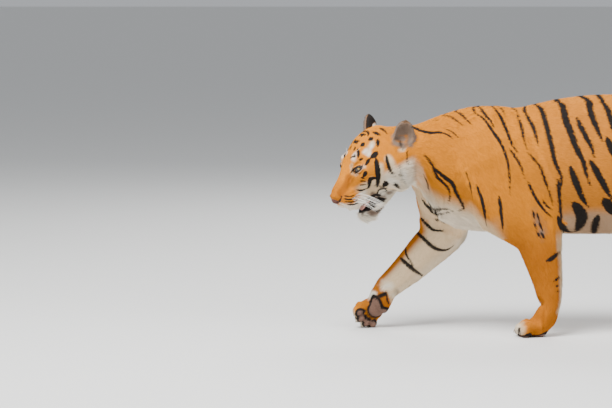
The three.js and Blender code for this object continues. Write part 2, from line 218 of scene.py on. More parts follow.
def magnified(points, times):
    """Opens space out round the head, so that an even remesh is finer there."""
    away = points - LENS
    far = np.linalg.norm(away, axis=1, keepdims=True)
    far_now = np.where(far < LENS_REACH, far * times, far + (times - 1) * LENS_REACH)
    return LENS + away * far_now / np.maximum(far, 1e-9)


def unmagnified(points, times):
    away = points - LENS
    far_now = np.linalg.norm(away, axis=1, keepdims=True)
    far = np.where(far_now < LENS_REACH * times, far_now / times, far_now - (times - 1) * LENS_REACH)
    return LENS + away * far / np.maximum(far_now, 1e-9)


def flesh_triangles():
    """Copies of the flesh's solids, merged and swollen a little so that the cuts between them close."""
    points, faces, owners, start = [], [], [], 0
    for i, name in enumerate(PARTS.tolist()):
        bm = bmesh.new()
        bm.from_mesh(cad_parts[name].data)
        bmesh.ops.remove_doubles(bm, verts=bm.verts, dist=1e-5)
        bm.normal_update()
        by = 0 if name in BALLS else CUT
        points.append(np.array([v.co + v.normal * by for v in bm.verts]))
        faces += [[start + v.index for v in f.verts] for f in bm.faces]
        owners += [i] * len(bm.faces)
        start += len(bm.verts)
        bm.free()
    return np.vstack(points), faces, np.array(owners)


def largest_island(bm):
    """Deletes everything but the biggest connected surface."""
    seen, best = set(), []
    for first in bm.verts:
        if first in seen:
            continue
        island, todo = [], [first]
        seen.add(first)
        while todo:
            v = todo.pop()
            island.append(v)
            for e in v.link_edges:
                w = e.other_vert(v)
                if w not in seen:
                    seen.add(w)
                    todo.append(w)
        if len(island) > len(best):
            best = island
    keep = set(best)
    bmesh.ops.delete(bm, geom=[v for v in bm.verts if v not in keep], context="VERTS")


def one_surface(points, faces, voxel, times):
    """One closed surface round all the flesh, finer on the head."""
    mesh = bpy.data.meshes.new("flesh_copy")
    mesh.from_pydata(magnified(points, times).tolist(), [], faces)
    copy = put("flesh_copy", mesh)
    remesh = copy.modifiers.new("Remesh", "REMESH")
    remesh.mode = "VOXEL"
    remesh.voxel_size = voxel
    made = bpy.data.meshes.new_from_object(copy.evaluated_get(bpy.context.evaluated_depsgraph_get()))
    bpy.data.objects.remove(copy)
    bpy.data.meshes.remove(mesh)
    made.name = "skin"
    bm = bmesh.new()
    bm.from_mesh(made)
    largest_island(bm)
    bm.to_mesh(made)
    bm.free()
    set_coordinates(made, unmagnified(coordinates(made), times))
    return made


def refine(mesh, wanted):
    """Cuts each edge whose two ends are both wanted in half, with the faces between them."""
    bm = bmesh.new()
    bm.from_mesh(mesh)
    bm.verts.ensure_lookup_table()
    flags = wanted.tolist()
    edges = [e for e in bm.edges if flags[e.verts[0].index] and flags[e.verts[1].index]]
    bmesh.ops.subdivide_edges(bm, edges=edges, cuts=1, use_grid_fill=True)
    bmesh.ops.triangulate(bm, faces=[f for f in bm.faces if len(f.verts) > 4])
    bm.to_mesh(mesh)
    bm.free()


# ---------- shaping ------------------
# The head's swellings and hollows: middle, radii and move, in the head's own millimetres. One that is
# off the middle line is made on both sides.
HEAD_MOVES = (
    ((-38, 27, -44), (36, 26, 30), (2.5, 5.5, -2.0)),  # whisker pads
    ((-40, 34, -86), (36, 24, 22), (0, 2.0, -2.0)),  # edge of the upper lip
    ((0, 0, -32), (18, 27, 22), (8.0, 0, 0)),  # nose leather
    ((6, 0, 4), (20, 30, 18), (-4.0, 0, -2.0)),  # step above the leather
    ((-66, 34, -6), (30, 18, 18), (0, -3.5, 0)),  # hollow between nose and cheek
    ((-74, 0, 34), (44, 26, 26), (0, 0, -2.0)),  # flat of the nose
    ((-124, 48, 68), (30, 22, 14), (3.0, 1.5, 3.0)),  # brow
    ((-104, 0, 66), (30, 20, 20), (-1.0, 0, -3.5)),  # furrow between the brows
    ((-112, 66, 14), (34, 20, 16), (0, 3.0, 0)),  # cheekbone under the eye
    ((-150, 84, 40), (36, 24, 30), (0, 2.5, 0)),
    ((-96, 56, -22), (26, 18, 18), (0, -3.0, 0)),
    ((-196, 0, 112), (60, 30, 24), (0, 0, 3.0)),  # crown
    ((-196, 44, 104), (54, 24, 24), (0, 0, 1.0)),
    ((-280, 118, 26), (36, 30, 40), (4.0, -9.0, 0)),  # below the mouth of the ear
    ((-300, 96, 62), (30, 26, 34), (2.0, -8.0, -4.0)),
)
NOSTRIL = ((12, 8, -37), (7, 15, -37), (-3, 20, -34), (-13, 25, -28), (-19, 27, -21))
# Grooves: half width, depth and the line, in the head's own millimetres.
HEAD_GROOVES = (
    (3.0, 5.5, (14, 0, -40), (6, 0, -54), (-2, 0, -66), (-12, 0, -80)),  # philtrum
    (5.5, 9.0, *NOSTRIL[:3]),
    (3.5, 4.5, *NOSTRIL[2:]),
    (3.0, 3.0, (8, 22, -44), (0, 26, -44), (-14, 31, -38)),  # under the wing of the nose
    (2.5, 2.0, (-50, 44, -22), (-72, 46, -30), (-92, 46, -44)),  # behind the whisker pad
    (4.0, 3.0, (-92, 34, 34), (-80, 34, 22), (-66, 34, 12)),  # tear line
    (4.0, 3.0, (-150, 78, 44), (-166, 88, 50), (-184, 96, 56)),  # outer corner of the eye
)
EYE_SLIT = (17.0, 6.6, 5.4)  # half length, and how far the upper and lower lids are open
EYE_OUT = 20.8 / HEAD_SCALE  # the lids' inner face, from the middle of the eye


def dome(q, middle, radii):
    """1 in the middle of an ellipsoid and 0 outside it."""
    r = (((q - middle) / radii) ** 2).sum(1)
    return np.where(r < 1, (1 - np.minimum(r, 1)) ** 2, 0)


def eye_frame(s):
    """The middle of an eye and its axes: along the slit to the outer corner, up and out."""
    along_slit = unit(np.array([-0.80, 0.56 * s, 0.26]))
    out = np.array([0.66, 0.72 * s, 0.16])
    out = unit(out - along_slit * (out @ along_slit))
    up = np.cross(out, along_slit) * (1 if s > 0 else -1)
    if up[2] < 0:
        up = -up
    return np.array([EYE[0], EYE[1] * s, EYE[2]]) * 1000, along_slit, up, out


def lid_height(u):
    """How far the upper and lower lids are open, at a place along the slit."""
    half, upper, lower = EYE_SLIT
    t = np.clip(u / half, -1, 1)
    return upper * (1 - t**2) * (1 + 0.25 * t), lower * (1 - t**2) ** 0.8 * (1 - 0.15 * t)


def shape_head(v, mean, faces):
    """The muzzle, nose, brow, cheeks, lids and mouth, moved within the head's flesh."""
    q = into(HEAD, v) * 1000
    for middle, radii, move in HEAD_MOVES:
        for s in (1, -1) if middle[1] else (1,):
            sides = np.array([1, s, 1])
            q = q + dome(q, np.array(middle) * sides, np.array(radii))[:, None] * np.array(move) * sides
    n = vertex_normals(q, faces)
    n = unit(mean(unit(mean(n))))
    for half, depth, *line in HEAD_GROOVES:
        for s in (1, -1) if line[0][1] or line[-1][1] else (1,):
            gap, where = along(q, np.array(line) * [1, s, 1])
            ends = np.sqrt(np.clip(np.sin(np.pi * np.clip(where, 0.06, 0.94)), 0, 1))
            q = q - n * (np.exp(-((gap / half) ** 2)) * depth * ends)[:, None]
    for s in (1, -1):
        middle, slit, up, out = eye_frame(s)
        away = q - middle
        far = np.linalg.norm(away, axis=1)
        u, w, f = away @ slit, away @ up, away @ out
        upper, lower = lid_height(u)
        inside = np.where(w > 0, upper - w, lower + w)  # over 0 between the lids
        near = (f > 2) & (far < 34)
        inner = np.where(np.abs(u) < EYE_SLIT[0] + 2, inside, -9)
        thick = 2.2 * np.exp(-((inner / 7) ** 2))
        reach = EYE_OUT + 0.6 + thick
        drape = near & (far < reach) & (inner <= 0)
        pull = near * smoothstep(-17, -6, inner) * (inner <= 0)
        wanted = np.where(drape, reach, far + np.minimum(reach - far, 0) * pull)
        wanted = np.where(near & (inner > 0), np.minimum(far, EYE_OUT - 4.5), wanted)
        # a soft crease round the lids
        crease = np.exp(-(((inner + 9) / 3.0) ** 2)) * 1.6 * near
        wanted = wanted - np.where(drape, 0, crease)
        q = middle + away * (wanted / np.maximum(far, 1e-6))[:, None]
    return through(HEAD, q / 1000)


# Folds of the loose skin, and muscles: half width and depth in millimetres (a ridge where it is
# negative), then the places on the sheet that they run through.
BODY_FOLDS = (
    (16, 5, (462, 140), (474, 165), (484, 190), (492, 212), (500, 231)),
    (15, 6, (522, 128), (534, 150), (546, 178), (554, 205)),
    (26, -7, (495, 135), (508, 165), (516, 190)),
    (22, -6, (524, 190), (532, 205), (540, 216)),
    (9, 4, (412, 160), (414, 174), (420, 186), (430, 196)),
    (8, 3, (425, 160), (436, 178), (444, 198)),
    (10, 3, (440, 205), (455, 214), (470, 224)),
    (12, 3, (476, 108), (488, 120), (500, 138)),
    (12, 2, (572, 150), (580, 175), (586, 200)),
    (12, 2, (592, 148), (600, 174), (606, 198)),
    (12, 2, (612, 146), (619, 172), (625, 196)),
    (12, 2, (632, 146), (638, 170), (643, 194)),
    (20, 7, (672, 150), (680, 180), (688, 205), (690, 222)),
    (30, -8, (706, 140), (712, 165), (712, 190)),
    (14, -4, (560, 96), (600, 94), (640, 92), (680, 92)),
    (8, 3, (508, 300), (516, 306), (522, 312)),
)


def fold_body(v, n, tree):
    """Presses the folds and muscles of the body into the skin, on both sides."""
    marks, away = Markings(tree), np.zeros(len(v))
    for half, depth, *places in BODY_FOLDS:
        line = marks.cast(places, 3.0)
        if len(line) < 2:
            continue
        for way in (line, marks.across(line)):
            gap, where = along(v, np.array(way))
            ends = np.sqrt(np.clip(np.sin(np.pi * np.clip(where, 0.04, 0.96)), 0, 1))
            away += np.exp(-((gap / (half * MM)) ** 2)) * depth * MM * ends
    return v - n * away[:, None]


# ---------- the feet ----------
TOES = ((-43, 64), (-15.5, 78), (15.5, 78), (43, 64))  # place across the paw and reach of each toe


def capsule(q, a, b, ra, rb):
    a, b = np.array(a, float), np.array(b, float)
    span = b - a
    t = np.clip(((q - a) @ span) / (span @ span), 0, 1)
    return np.linalg.norm(q - a - t[:, None] * span, axis=1) - (ra + (rb - ra) * t)


def lump(q, middle, radii):
    """Distance to an ellipsoid, near its surface."""
    k = (q - middle) / radii
    r = np.maximum(np.linalg.norm(k, axis=1), 1e-6)
    return (r - 1) * np.linalg.norm(q - middle, axis=1) / r


def soft_min(a, b, width):
    h = np.maximum(width - np.abs(a - b), 0) / width
    return np.minimum(a, b) - h * h * width * 0.25


def pads_field(q):
    """The bare pads of a sole."""
    main = lump(q, (-8, 0, 9), (23, 30, 14))
    main = soft_min(main, lump(q, (-24, 20, 9), (18, 14, 11)), 8)
    main = soft_min(main, lump(q, (-24, -20, 9), (18, 14, 11)), 8)
    toes = [lump(q, (tip - 24, y, 8), (14.5, 10.5, 11.5)) for y, tip in TOES]
    return np.minimum(main, np.min(toes, axis=0))


def paw_field(q, back, high):
    """A furred paw: four toes, each arched over its claw, on a broad back."""
    toes = []
    for y, tip in TOES:
        toe = capsule(q, (2, y * 0.66, 38), (tip - 40, y * 0.94, 45), 19, 20)
        toe = soft_min(toe, capsule(q, (tip - 40, y * 0.94, 45), (tip - 20, y * 1.03, 32), 20, 18.5), 5)
        toe = soft_min(toe, capsule(q, (tip - 20, y * 1.03, 32), (tip - 14, y * 1.05, 22), 18.5, 16), 5)
        toes.append(soft_min(toe, lump(q, (tip - 24, y, 14), (22, 14, 11)), 6))
    toes = np.min([toes[0], toes[3], np.minimum(toes[1], toes[2])], axis=0)
    trunk = capsule(q, (-back, 0, high), (-8, 0, 42), 40, 34)
    trunk = soft_min(trunk, lump(q, (2, 0, 38), (42, 54, 29)), 20)
    trunk = soft_min(trunk, lump(q, (-8, 0, 20), (40, 44, 18)), 12)
    return soft_min(trunk, toes, 5)


# How far behind the main pad each paw's wrist or hock is, and how high, in millimetres.
WRISTS = {
    "forepaw_left": (48, 96),
    "forepaw_right": (60, 40),
    "hindpaw_left": (20, 86),
    "hindpaw_right": (24, 84),
}


def shape_paws(v, mean, faces, depth):
    """Draws the paws' skin on to the shape of their toes and pads."""
    v = v.copy()
    for joints in LIMBS.values():  # evens out the wrists and hocks
        near = np.exp(-((np.linalg.norm(v - joints[-1], axis=1) / 0.065) ** 2))[:, None] * 0.5
        for _ in range(14):
            v = v + (mean(v) - v) * near
    n = vertex_normals(v, faces)
    for matrix in PAWS.values():  # lets the undersides of the toes down
        q = into(matrix, v) * 1000
        down = n @ np.array(matrix.to_3x3())[:, 2]
        near = (np.linalg.norm(q, axis=1) < 130) * smoothstep(0.0, -0.5, down) * smoothstep(-8, 14, q[:, 0])
        v = v - np.array(matrix.to_3x3())[:, 2] * (near * 0.014)[:, None]
    for lap in range(4):
        for paw, matrix in PAWS.items():
            index = np.nonzero(np.linalg.norm(v - np.array(matrix.translation), axis=1) < 0.16)[0]
            q = into(matrix, v[index]) * 1000
            weight = smoothstep(-34, 2, q[:, 0])[:, None]

            def field(p):
                return np.minimum(paw_field(p, *WRISTS[paw]) + depth, pads_field(p) + 0.4)

            for _ in range(3):
                value = field(q)
                slope = np.stack([field(q + e) - field(q - e) for e in np.eye(3) * 0.4], 1) / 0.8
                q = q - weight * slope * np.clip(value, -9, 9)[:, None] * 0.9
            if paw != "forepaw_right":
                q[:, 2] = np.maximum(q[:, 2], 1.0)
            v[index] = through(matrix, q / 1000)
            if lap < 3:
                even = mean(v)
                v[index] += (even[index] - v[index]) * weight * 0.6
    v[:, 2] = np.maximum(v[:, 2], 0.001)
    return v


def tube(bm, line, radius, around=8, closed=False):
    """A round rod along a line of points."""
    line = [Vector(p) for p in line]
    turns = np.linspace(0, 2 * math.pi, around, False)
    rings, side = [], None
    count = len(line)
    for i, p in enumerate(line):
        before = line[i - 1] if closed or i else p
        after = line[(i + 1) % count] if closed or i < count - 1 else p
        way = (after - before).normalized()
        side = way.orthogonal().normalized() if side is None else (side - way * side.dot(way)).normalized()
        over = way.cross(side)
        r = radius(i / (count - 1)) if callable(radius) else radius
        rings.append([bm.verts.new(p + (side * math.cos(t) + over * math.sin(t)) * r) for t in turns])
    pairs = list(zip(rings, rings[1:])) + ([(rings[-1], rings[0])] if closed else [])
    for a, b in pairs:
        for k in range(around):
            bm.faces.new((a[k], a[(k + 1) % around], b[(k + 1) % around], b[k]))
    if not closed:
        bm.faces.new(rings[0][::-1])
        bm.faces.new(rings[-1])
    return rings


# ---------- markings ----------
# The view in which the markings of the left side are laid out: a sheet of small squares, seen from
# the camera. Its numbers run on past its right edge, over the hindquarters.
SHEET, SQUARE = (612, 408), 0.004
DISTANCE, TILT = 9.5, math.radians(5)
AIM = np.array([-1.185, 0, 0.516])
AHEAD = np.array([0, math.cos(TILT), -math.sin(TILT)])
UPWARD = np.array([0, math.sin(TILT), math.cos(TILT)])
EYEPOINT = AIM - AHEAD * DISTANCE


def sight(px, py):
    """The direction from the camera through a place on the sheet."""
    across, down = (px - SHEET[0] / 2) * SQUARE, (py - SHEET[1] / 2) * SQUARE
    return unit(AHEAD * DISTANCE + np.array([across, 0, 0]) - UPWARD * down)


CHANNELS = ("ink", "white", "cream", "grey", "rich")
SKIN_EDGE = 0.009  # softness of a stripe's edge as the skin carries it; its material sharpens it

# Half width in metres for each unit of a stripe's weight: on the flank, on the rest of the side, on
# the face, on the forelegs, and for the bars round the legs.
FLANK_BOLD, SIDE_BOLD, FACE_BOLD, LEG_BOLD, BAR_BOLD = 0.0016, 0.0014, 0.00145, 0.0016, 0.00125
FLANK = (520, 615)  # how far the flank reaches along the sheet

# Stripes of the side: weight, then the places on the sheet that they run through.
SIDE_STRIPES = [
    (5, (412, 127), (422, 131), (431, 133), (440, 132.5), (448, 135), (453, 139)),
    (2, (433, 120.5), (440, 120.3)),
    (3.2, (443, 115.5), (451, 117), (458.5, 122), (464, 126)),
    (3.8, (455, 112), (461, 114), (466, 119), (472, 125)),
    (2, (446, 129), (452, 132), (459, 138)),
    (5, (472, 104.6), (479, 107), (486, 115.5), (491, 121.5), (494, 127.5)),
    (4.6, (475, 113), (484.6, 120), (493, 132), (500, 142), (505, 153), (508.5, 166), (510, 182), (510, 195)),
    (5.5, (492.7, 107), (500, 116), (507, 131), (512, 144), (518, 152.5)),
    (2.5, (501, 108), (506, 116)),
    (3.8, (510, 149.7), (516, 157.6), (521.6, 168), (524.7, 178.7)),
    (4, (528, 181), (535, 197), (541.6, 207), (547, 213), (553, 218)),
    (4.6, (518.4, 117.6), (521.6, 127), (524.7, 141), (527.4, 150)),
    (3.2, (528, 153), (534, 159), (541, 169), (546, 183), (550.5, 195.5), (553.7, 209)),
    (3, (543, 201), (548, 207), (553, 210)),
    (5, (525, 112), (530.5, 122), (535, 132), (539, 147)),
    (7, (534.7, 104.5), (541.6, 110), (547, 127), (551, 143), (555, 161), (561.6, 177.6), (560.5, 191)),
    (5, (558, 178), (559.5, 196), (561, 212), (561.6, 227)),
    (9, (557, 101), (562.6, 106), (566, 120), (572, 135.5), (577.4, 150), (583.7, 162), (586, 172),
     (590.5, 185)),
    (7, (577, 118), (582.6, 130), (590, 144), (595, 157)),
    (9, (581.6, 96.6), (589, 102), (591, 112), (596, 126), (603, 141)),
    (8, (602.6, 102), (608, 110), (613, 126), (618, 140)),
    (9, (570.5, 167), (576, 182), (582.6, 198), (589, 207)),
    (9, (590.5, 161), (598.4, 174.5), (604.7, 186), (612, 199)),
    (9, (607, 138), (612, 150), (619, 164)),
    (15, (574, 203), (579, 210), (582, 217), (580, 225), (576, 231)),
    (10, (557.5, 217), (560.5, 225), (567, 231), (575, 231)),
    (13, (604, 199), (609, 206), (613, 215)),
    (10, (598, 215), (595, 226), (593, 236)),
    (4.5, (425, 155), (432.5, 165), (437, 176), (443, 182), (449, 190), (450, 198), (448, 204)),
    (6, (434, 168), (440, 173), (447, 179), (453, 184), (456, 192), (461, 201), (464, 208), (459, 211)),
    (3, (423, 173), (428, 182), (430, 192)),
    (5, (422, 199.5), (428, 207), (437, 209), (450, 209)),
    (4, (426, 204), (432.5, 212.5), (441, 214), (453, 211)),
    (5, (419, 215), (425, 223), (433.6, 230), (444.5, 231)),
    (5, (477, 186), (482, 200), (484.6, 212.5), (487, 226)),
    (5, (499, 196), (501, 210), (503, 232)),
    (2, (466, 172), (470, 184), (473, 200)),
    (3.2, (533, 211), (535, 220)),
    (3, (537, 213), (540, 222)),
    (3, (534, 223), (537, 230)),
    (3.2, (539, 222), (543, 232)),
    (3, (541, 233), (546, 240)),
    (2.8, (536, 231), (541, 239)),
    # the hidden half, in the same rhythm
    (8, (621, 98), (627, 110), (632, 126), (638, 143), (642, 157)),
    (8, (622, 158), (628, 172), (635, 188), (642, 202)),
    (8, (640, 95), (646, 108), (651, 124), (654, 138)),
    (9, (630, 202), (635, 212), (634, 224), (628, 236)),
    (9, (655, 92), (662, 106), (667, 122), (671, 141), (674, 160), (676, 174)),
    (8, (650, 160), (655, 178), (660, 196), (661, 212)),
    (9, (674, 92), (681, 104), (686, 118), (690, 130)),
    (8, (684, 138), (689, 156), (692, 172), (694, 188)),
    (9, (692, 92), (699, 106), (705, 122), (710, 138), (713, 152)),
    (8, (712, 94), (719, 108), (726, 122), (730, 138)),
    (8, (729, 98), (736, 110), (743, 122), (747, 138), (748, 150)),
    (7, (746, 102), (753, 112), (759, 124), (762, 136)),
    (7, (762, 110), (768, 120), (771, 132)),
    (9, (672, 196), (676, 208), (674, 220)),
]
# Stripes of the forelegs, in the same way.
LEG_STRIPES = [
    (5, (417, 233), (425, 240), (432.5, 247), (440, 250), (447, 250), (453, 246)),
    (5.5, (400, 258), (410, 267), (418, 273), (426, 278)),
    (3.2, (405, 247), (407, 256), (414, 266)),
    (5, (450, 258), (455, 262)),
    (3, (409, 286), (412, 288)),
    (6, (546.5, 261), (552, 258.5), (559.5, 252)),
    (3.5, (553, 281.5), (556, 280), (560, 276.5)),
    (1.8, (555, 287), (559, 285.5)),
    (1.6, (556, 292), (559.5, 291)),
]
# Bars round the legs: which pair, which joint, share of the way down, first and last angle in degrees
# (0 is the front, positive the outer side), slant and weight.
LEG_BARS = (
    ("fore", 1, 0.16, 178, 118, -0.06, 5),
    ("fore", 1, 0.30, 178, 140, -0.03, 4),
    ("fore", 1, 0.10, -40, -150, 0.10, 5),
    ("fore", 1, 0.30, -60, -150, 0.06, 5),
    ("fore", 1, 0.50, -70, -160, 0.05, 3.5),
    ("fore", 0, 0.78, -30, -120, 0.05, 5),
    ("hind", 0, 0.42, 172, 52, 0.30, 9),
    ("hind", 0, 0.60, 178, 40, 0.30, 9),
    ("hind", 0, 0.78, 178, 30, 0.26, 8),
    ("hind", 0, 0.94, 176, 24, 0.20, 7),
    ("hind", 0, 0.70, 120, 60, 0.10, 4),
    ("hind", 1, 0.16, 176, 30, 0.10, 7),
    ("hind", 1, 0.34, 178, 40, 0.08, 6.5),
    ("hind", 1, 0.52, 178, 50, 0.06, 6),
    ("hind", 1, 0.70, 172, 66, 0.05, 5),
    ("hind", 1, 0.86, 170, 80, 0.04, 4),
    ("hind", 2, 0.20, 168, 96, 0.05, 3.5),
    ("hind", 1, 0.24, -60, -172, -0.06, 6),
    ("hind", 1, 0.46, -60, -172, -0.05, 5),
    ("hind", 1, 0.66, -70, -172, -0.04, 4.5),
    ("hind", 0, 0.92, -70, -170, -0.08, 7),
    ("hind", 0, 0.72, -100, -172, -0.06, 7),
)
# Patches of the far forepaw and the near elbow: channel, radius and softness in millimetres, then the
# places that they run through.
PAW_PATCHES = [
    ("white", 11, 9, (368, 297.5), (374, 293)),
    ("white", 9, 22, (383, 287), (390, 286)),
    ("cream", 8, 9, (391, 297), (391.5, 304)),
    ("grey", 9, 16, (397, 291), (398, 297)),
    ("ink", 6, 5, (370, 302), (374, 299), (378, 296.5)),
    ("ink", 9, 5, (380, 296), (385, 294)),
    ("ink", 4, 4, (386.5, 295), (387.5, 301), (391, 308)),
    ("grey", 7, 24, (536, 214), (539, 224), (543, 236)),
]
# Stripes of the near side of the face, in the same way; the far side has them mirrored.
FACE_STRIPES = [
    (7.5, (376, 158.5), (377.4, 168), (378.2, 176.6), (377.3, 187)),
    (6, (377, 178), (370.5, 179.2), (369, 186.5), (366, 188.8)),
    (3, (366, 188.8), (361, 190.3), (356, 189.6)),
    (5, (386.3, 155), (388, 163.6), (390.4, 169.7), (395, 176)),
    (8, (377, 152), (374.5, 155), (370.5, 158.2)),
    (5, (370, 159), (368, 161), (366.5, 165)),
    (6, (366.3, 171), (365, 174), (363, 177.3)),
    (2.4, (361, 177.5), (365, 178.5)),
    (2.4, (360, 181), (366, 181.2)),
    (2.4, (360, 185), (366.5, 184.5)),
    (9, (384.8, 181.5), (385.8, 183.5), (383.4, 187)),
    (4, (386.2, 190.3), (386.6, 190.9)),
    (5, (395, 182.5), (397, 185.5), (399.8, 188.2)),
    (4.5, (398.5, 193), (394.5, 197), (389.5, 201)),
    (1.8, (399.4, 165), (401, 174), (403.7, 181), (407.3, 188)),
    (2, (407.3, 151), (407.3, 160.5), (409.5, 166), (412.5, 169.7)),
    (8, (361.8, 143.6), (364.2, 146)),
    (8, (370, 137.8), (372, 140.5)),
    (5.5, (377.6, 139.5), (378.1, 143), (378.3, 146.7)),
    (5, (359, 136.5), (362, 134.6), (366, 135)),
    (5, (373, 132.2), (376.5, 133.4), (380.2, 135.4)),
    (3.4, (379.7, 128), (384, 130.5), (387.8, 134.2)),
    (4, (366, 131), (368.5, 133), (368, 136)),
    (4.5, (353.5, 142.6), (357, 141.4), (360, 141)),
    (4.5, (357.6, 149), (358.6, 153), (358.2, 158)),
    (3.2, (351.5, 146), (349.8, 150)),
    (2.2, (354.5, 154), (355, 158)),
    (2.6, (359, 159.5), (363, 159)),
    (2.6, (360, 161), (362, 158)),
    (3.5, (345, 154), (344.6, 158)),
    (3, (383, 126.5), (389, 127), (394, 126.6)),
    (1.6, (344, 195.6), (349, 196.5), (354, 195.3)),
    (1.6, (344, 198.6), (350, 199.6), (357, 196.6)),
    (1.6, (345, 201.6), (352, 202), (359, 198.8)),
    (1.6, (347, 204.4), (354, 204.4), (361, 201.6)),
    (3.6, (350.5, 173), (353, 170), (356.5, 167), (361, 165)),
    (2.2, (354, 173.5), (359, 171), (363, 166.5)),
    (6, (366, 200), (371, 197.5), (377, 195), (382, 196)),
    (9, (372, 203), (377, 201), (383, 199.5), (386, 198)),
    (7, (366, 210), (371, 207.5), (377, 206)),
    (4, (374, 211), (379, 210), (383, 205)),
]
# Patches of the face: channel, radius in millimetres, then the places that they run through.
FACE_PATCHES = [
    ("white", 9, (353.5, 159), (355, 155)),
    ("white", 9, (364.5, 152), (366.5, 150)),
    ("white", 6, (371, 147), (369, 154)),
    ("cream", 9, (369, 146), (372, 143)),
    ("cream", 3.4, (352.2, 164), (351.6, 170), (352.8, 174)),
    ("white", 3.2, (355.4, 174.6), (360, 170.5), (364.4, 166)),
    ("cream", 12, (381, 166), (382, 176), (383, 184)),
    ("cream", 14, (388, 158), (393, 166), (398, 178)),
    ("white", 16, (391, 180), (398, 184)),
    ("cream", 10, (374, 189), (380, 192), (388, 194)),
    ("white", 24, (408, 180), (412, 184)),
    ("white", 14, (403, 170), (405, 180)),
    ("cream", 12, (372, 180), (374, 186)),
    ("cream", 9, (361, 187), (368, 186)),
    ("white", 9, (361.5, 193), (365, 192)),
    ("white", 8, (346, 206), (356, 206.5), (362, 205)),
    ("white", 22, (368, 220), (376, 216)),
    # grey-brown fur of the lower cheeks and the side of the jaw, with painted shade on them
    ("grey", 8, (372, 194), (378, 197), (384, 197)),
    ("grey", 7, (388, 193), (394, 190)),
    ("grey", 15, (371, 213), (377, 211), (381, 208)),
    ("grey", 17, (396, 138), (403, 138)),
    ("grey", 15, (408, 132), (410, 139), (410, 145)),
    ("grey", 13, (395, 143), (403, 146)),
    # painted shadow in the mouth of the ear
    ("ink", 4, (400, 141), (401, 145)),
    ("cream", 7, (399, 150), (404, 149)),
    ("white", 10, (345, 205.5), (350, 208), (356, 210)),
    ("white", 5, (341, 204), (344, 205)),
    ("rich", 16, (350, 178), (345, 188), (340, 194)),
]


def spline(places, step):
    """Points every step or so along a smooth curve through the places."""
    q = np.array([places[0], *places, places[-1]], float)
    out = []
    for i in range(1, len(q) - 2):
        n = max(1, int(np.linalg.norm(q[i + 1] - q[i]) / step))
        for t in np.arange(n) / n:
            a, b, c, d = q[i - 1], q[i], q[i + 1], q[i + 2]
            out.append(
                b + 0.5 * ((c - a) * t + (2 * a - 5 * b + 4 * c - d) * t**2 + (3 * b - a - 3 * c + d) * t**3)
            )
    out.append(q[-2])
    return np.array(out)


class Noise:
    """Smooth value noise from a seeded lattice."""

    def __init__(self, seed):
        self.lattice = np.random.default_rng(seed).random((32, 32, 32)) * 2 - 1

    def __call__(self, points, size):
        q = points / size
        low = np.floor(q).astype(int)
        t = smoothstep(0, 1, q - low)
        total = 0
        for corner in range(8):
            bits = [(corner >> k) & 1 for k in range(3)]
            share = np.prod([t[:, k] if bits[k] else 1 - t[:, k] for k in range(3)], axis=0)
            at = [(low[:, k] + bits[k]) % 32 for k in range(3)]
            total = total + share * self.lattice[at[0], at[1], at[2]]
        return total


NOISE = Noise(SEED)


def along(points, line):
    """Distance from each point to a polyline, and how far along it the nearest place is, 0 to 1."""
    best = np.full(len(points), 1e9)
    where = np.zeros(len(points))
    if len(line) == 1:
        return np.linalg.norm(points - line[0], axis=1), where + 0.5
    lengths = np.linalg.norm(np.diff(line, axis=0), axis=1)
    starts = np.concatenate([[0], np.cumsum(lengths)])
    for i, span in enumerate(lengths):
        if span < 1e-9:
            continue
        way = (line[i + 1] - line[i]) / span
        t = np.clip((points - line[i]) @ way, 0, span)
        gap = np.linalg.norm(points - line[i] - t[:, None] * way, axis=1)
        near = gap < best
        best[near] = gap[near]
        where[near] = (starts[i] + t[near]) / starts[-1]
    return best, where


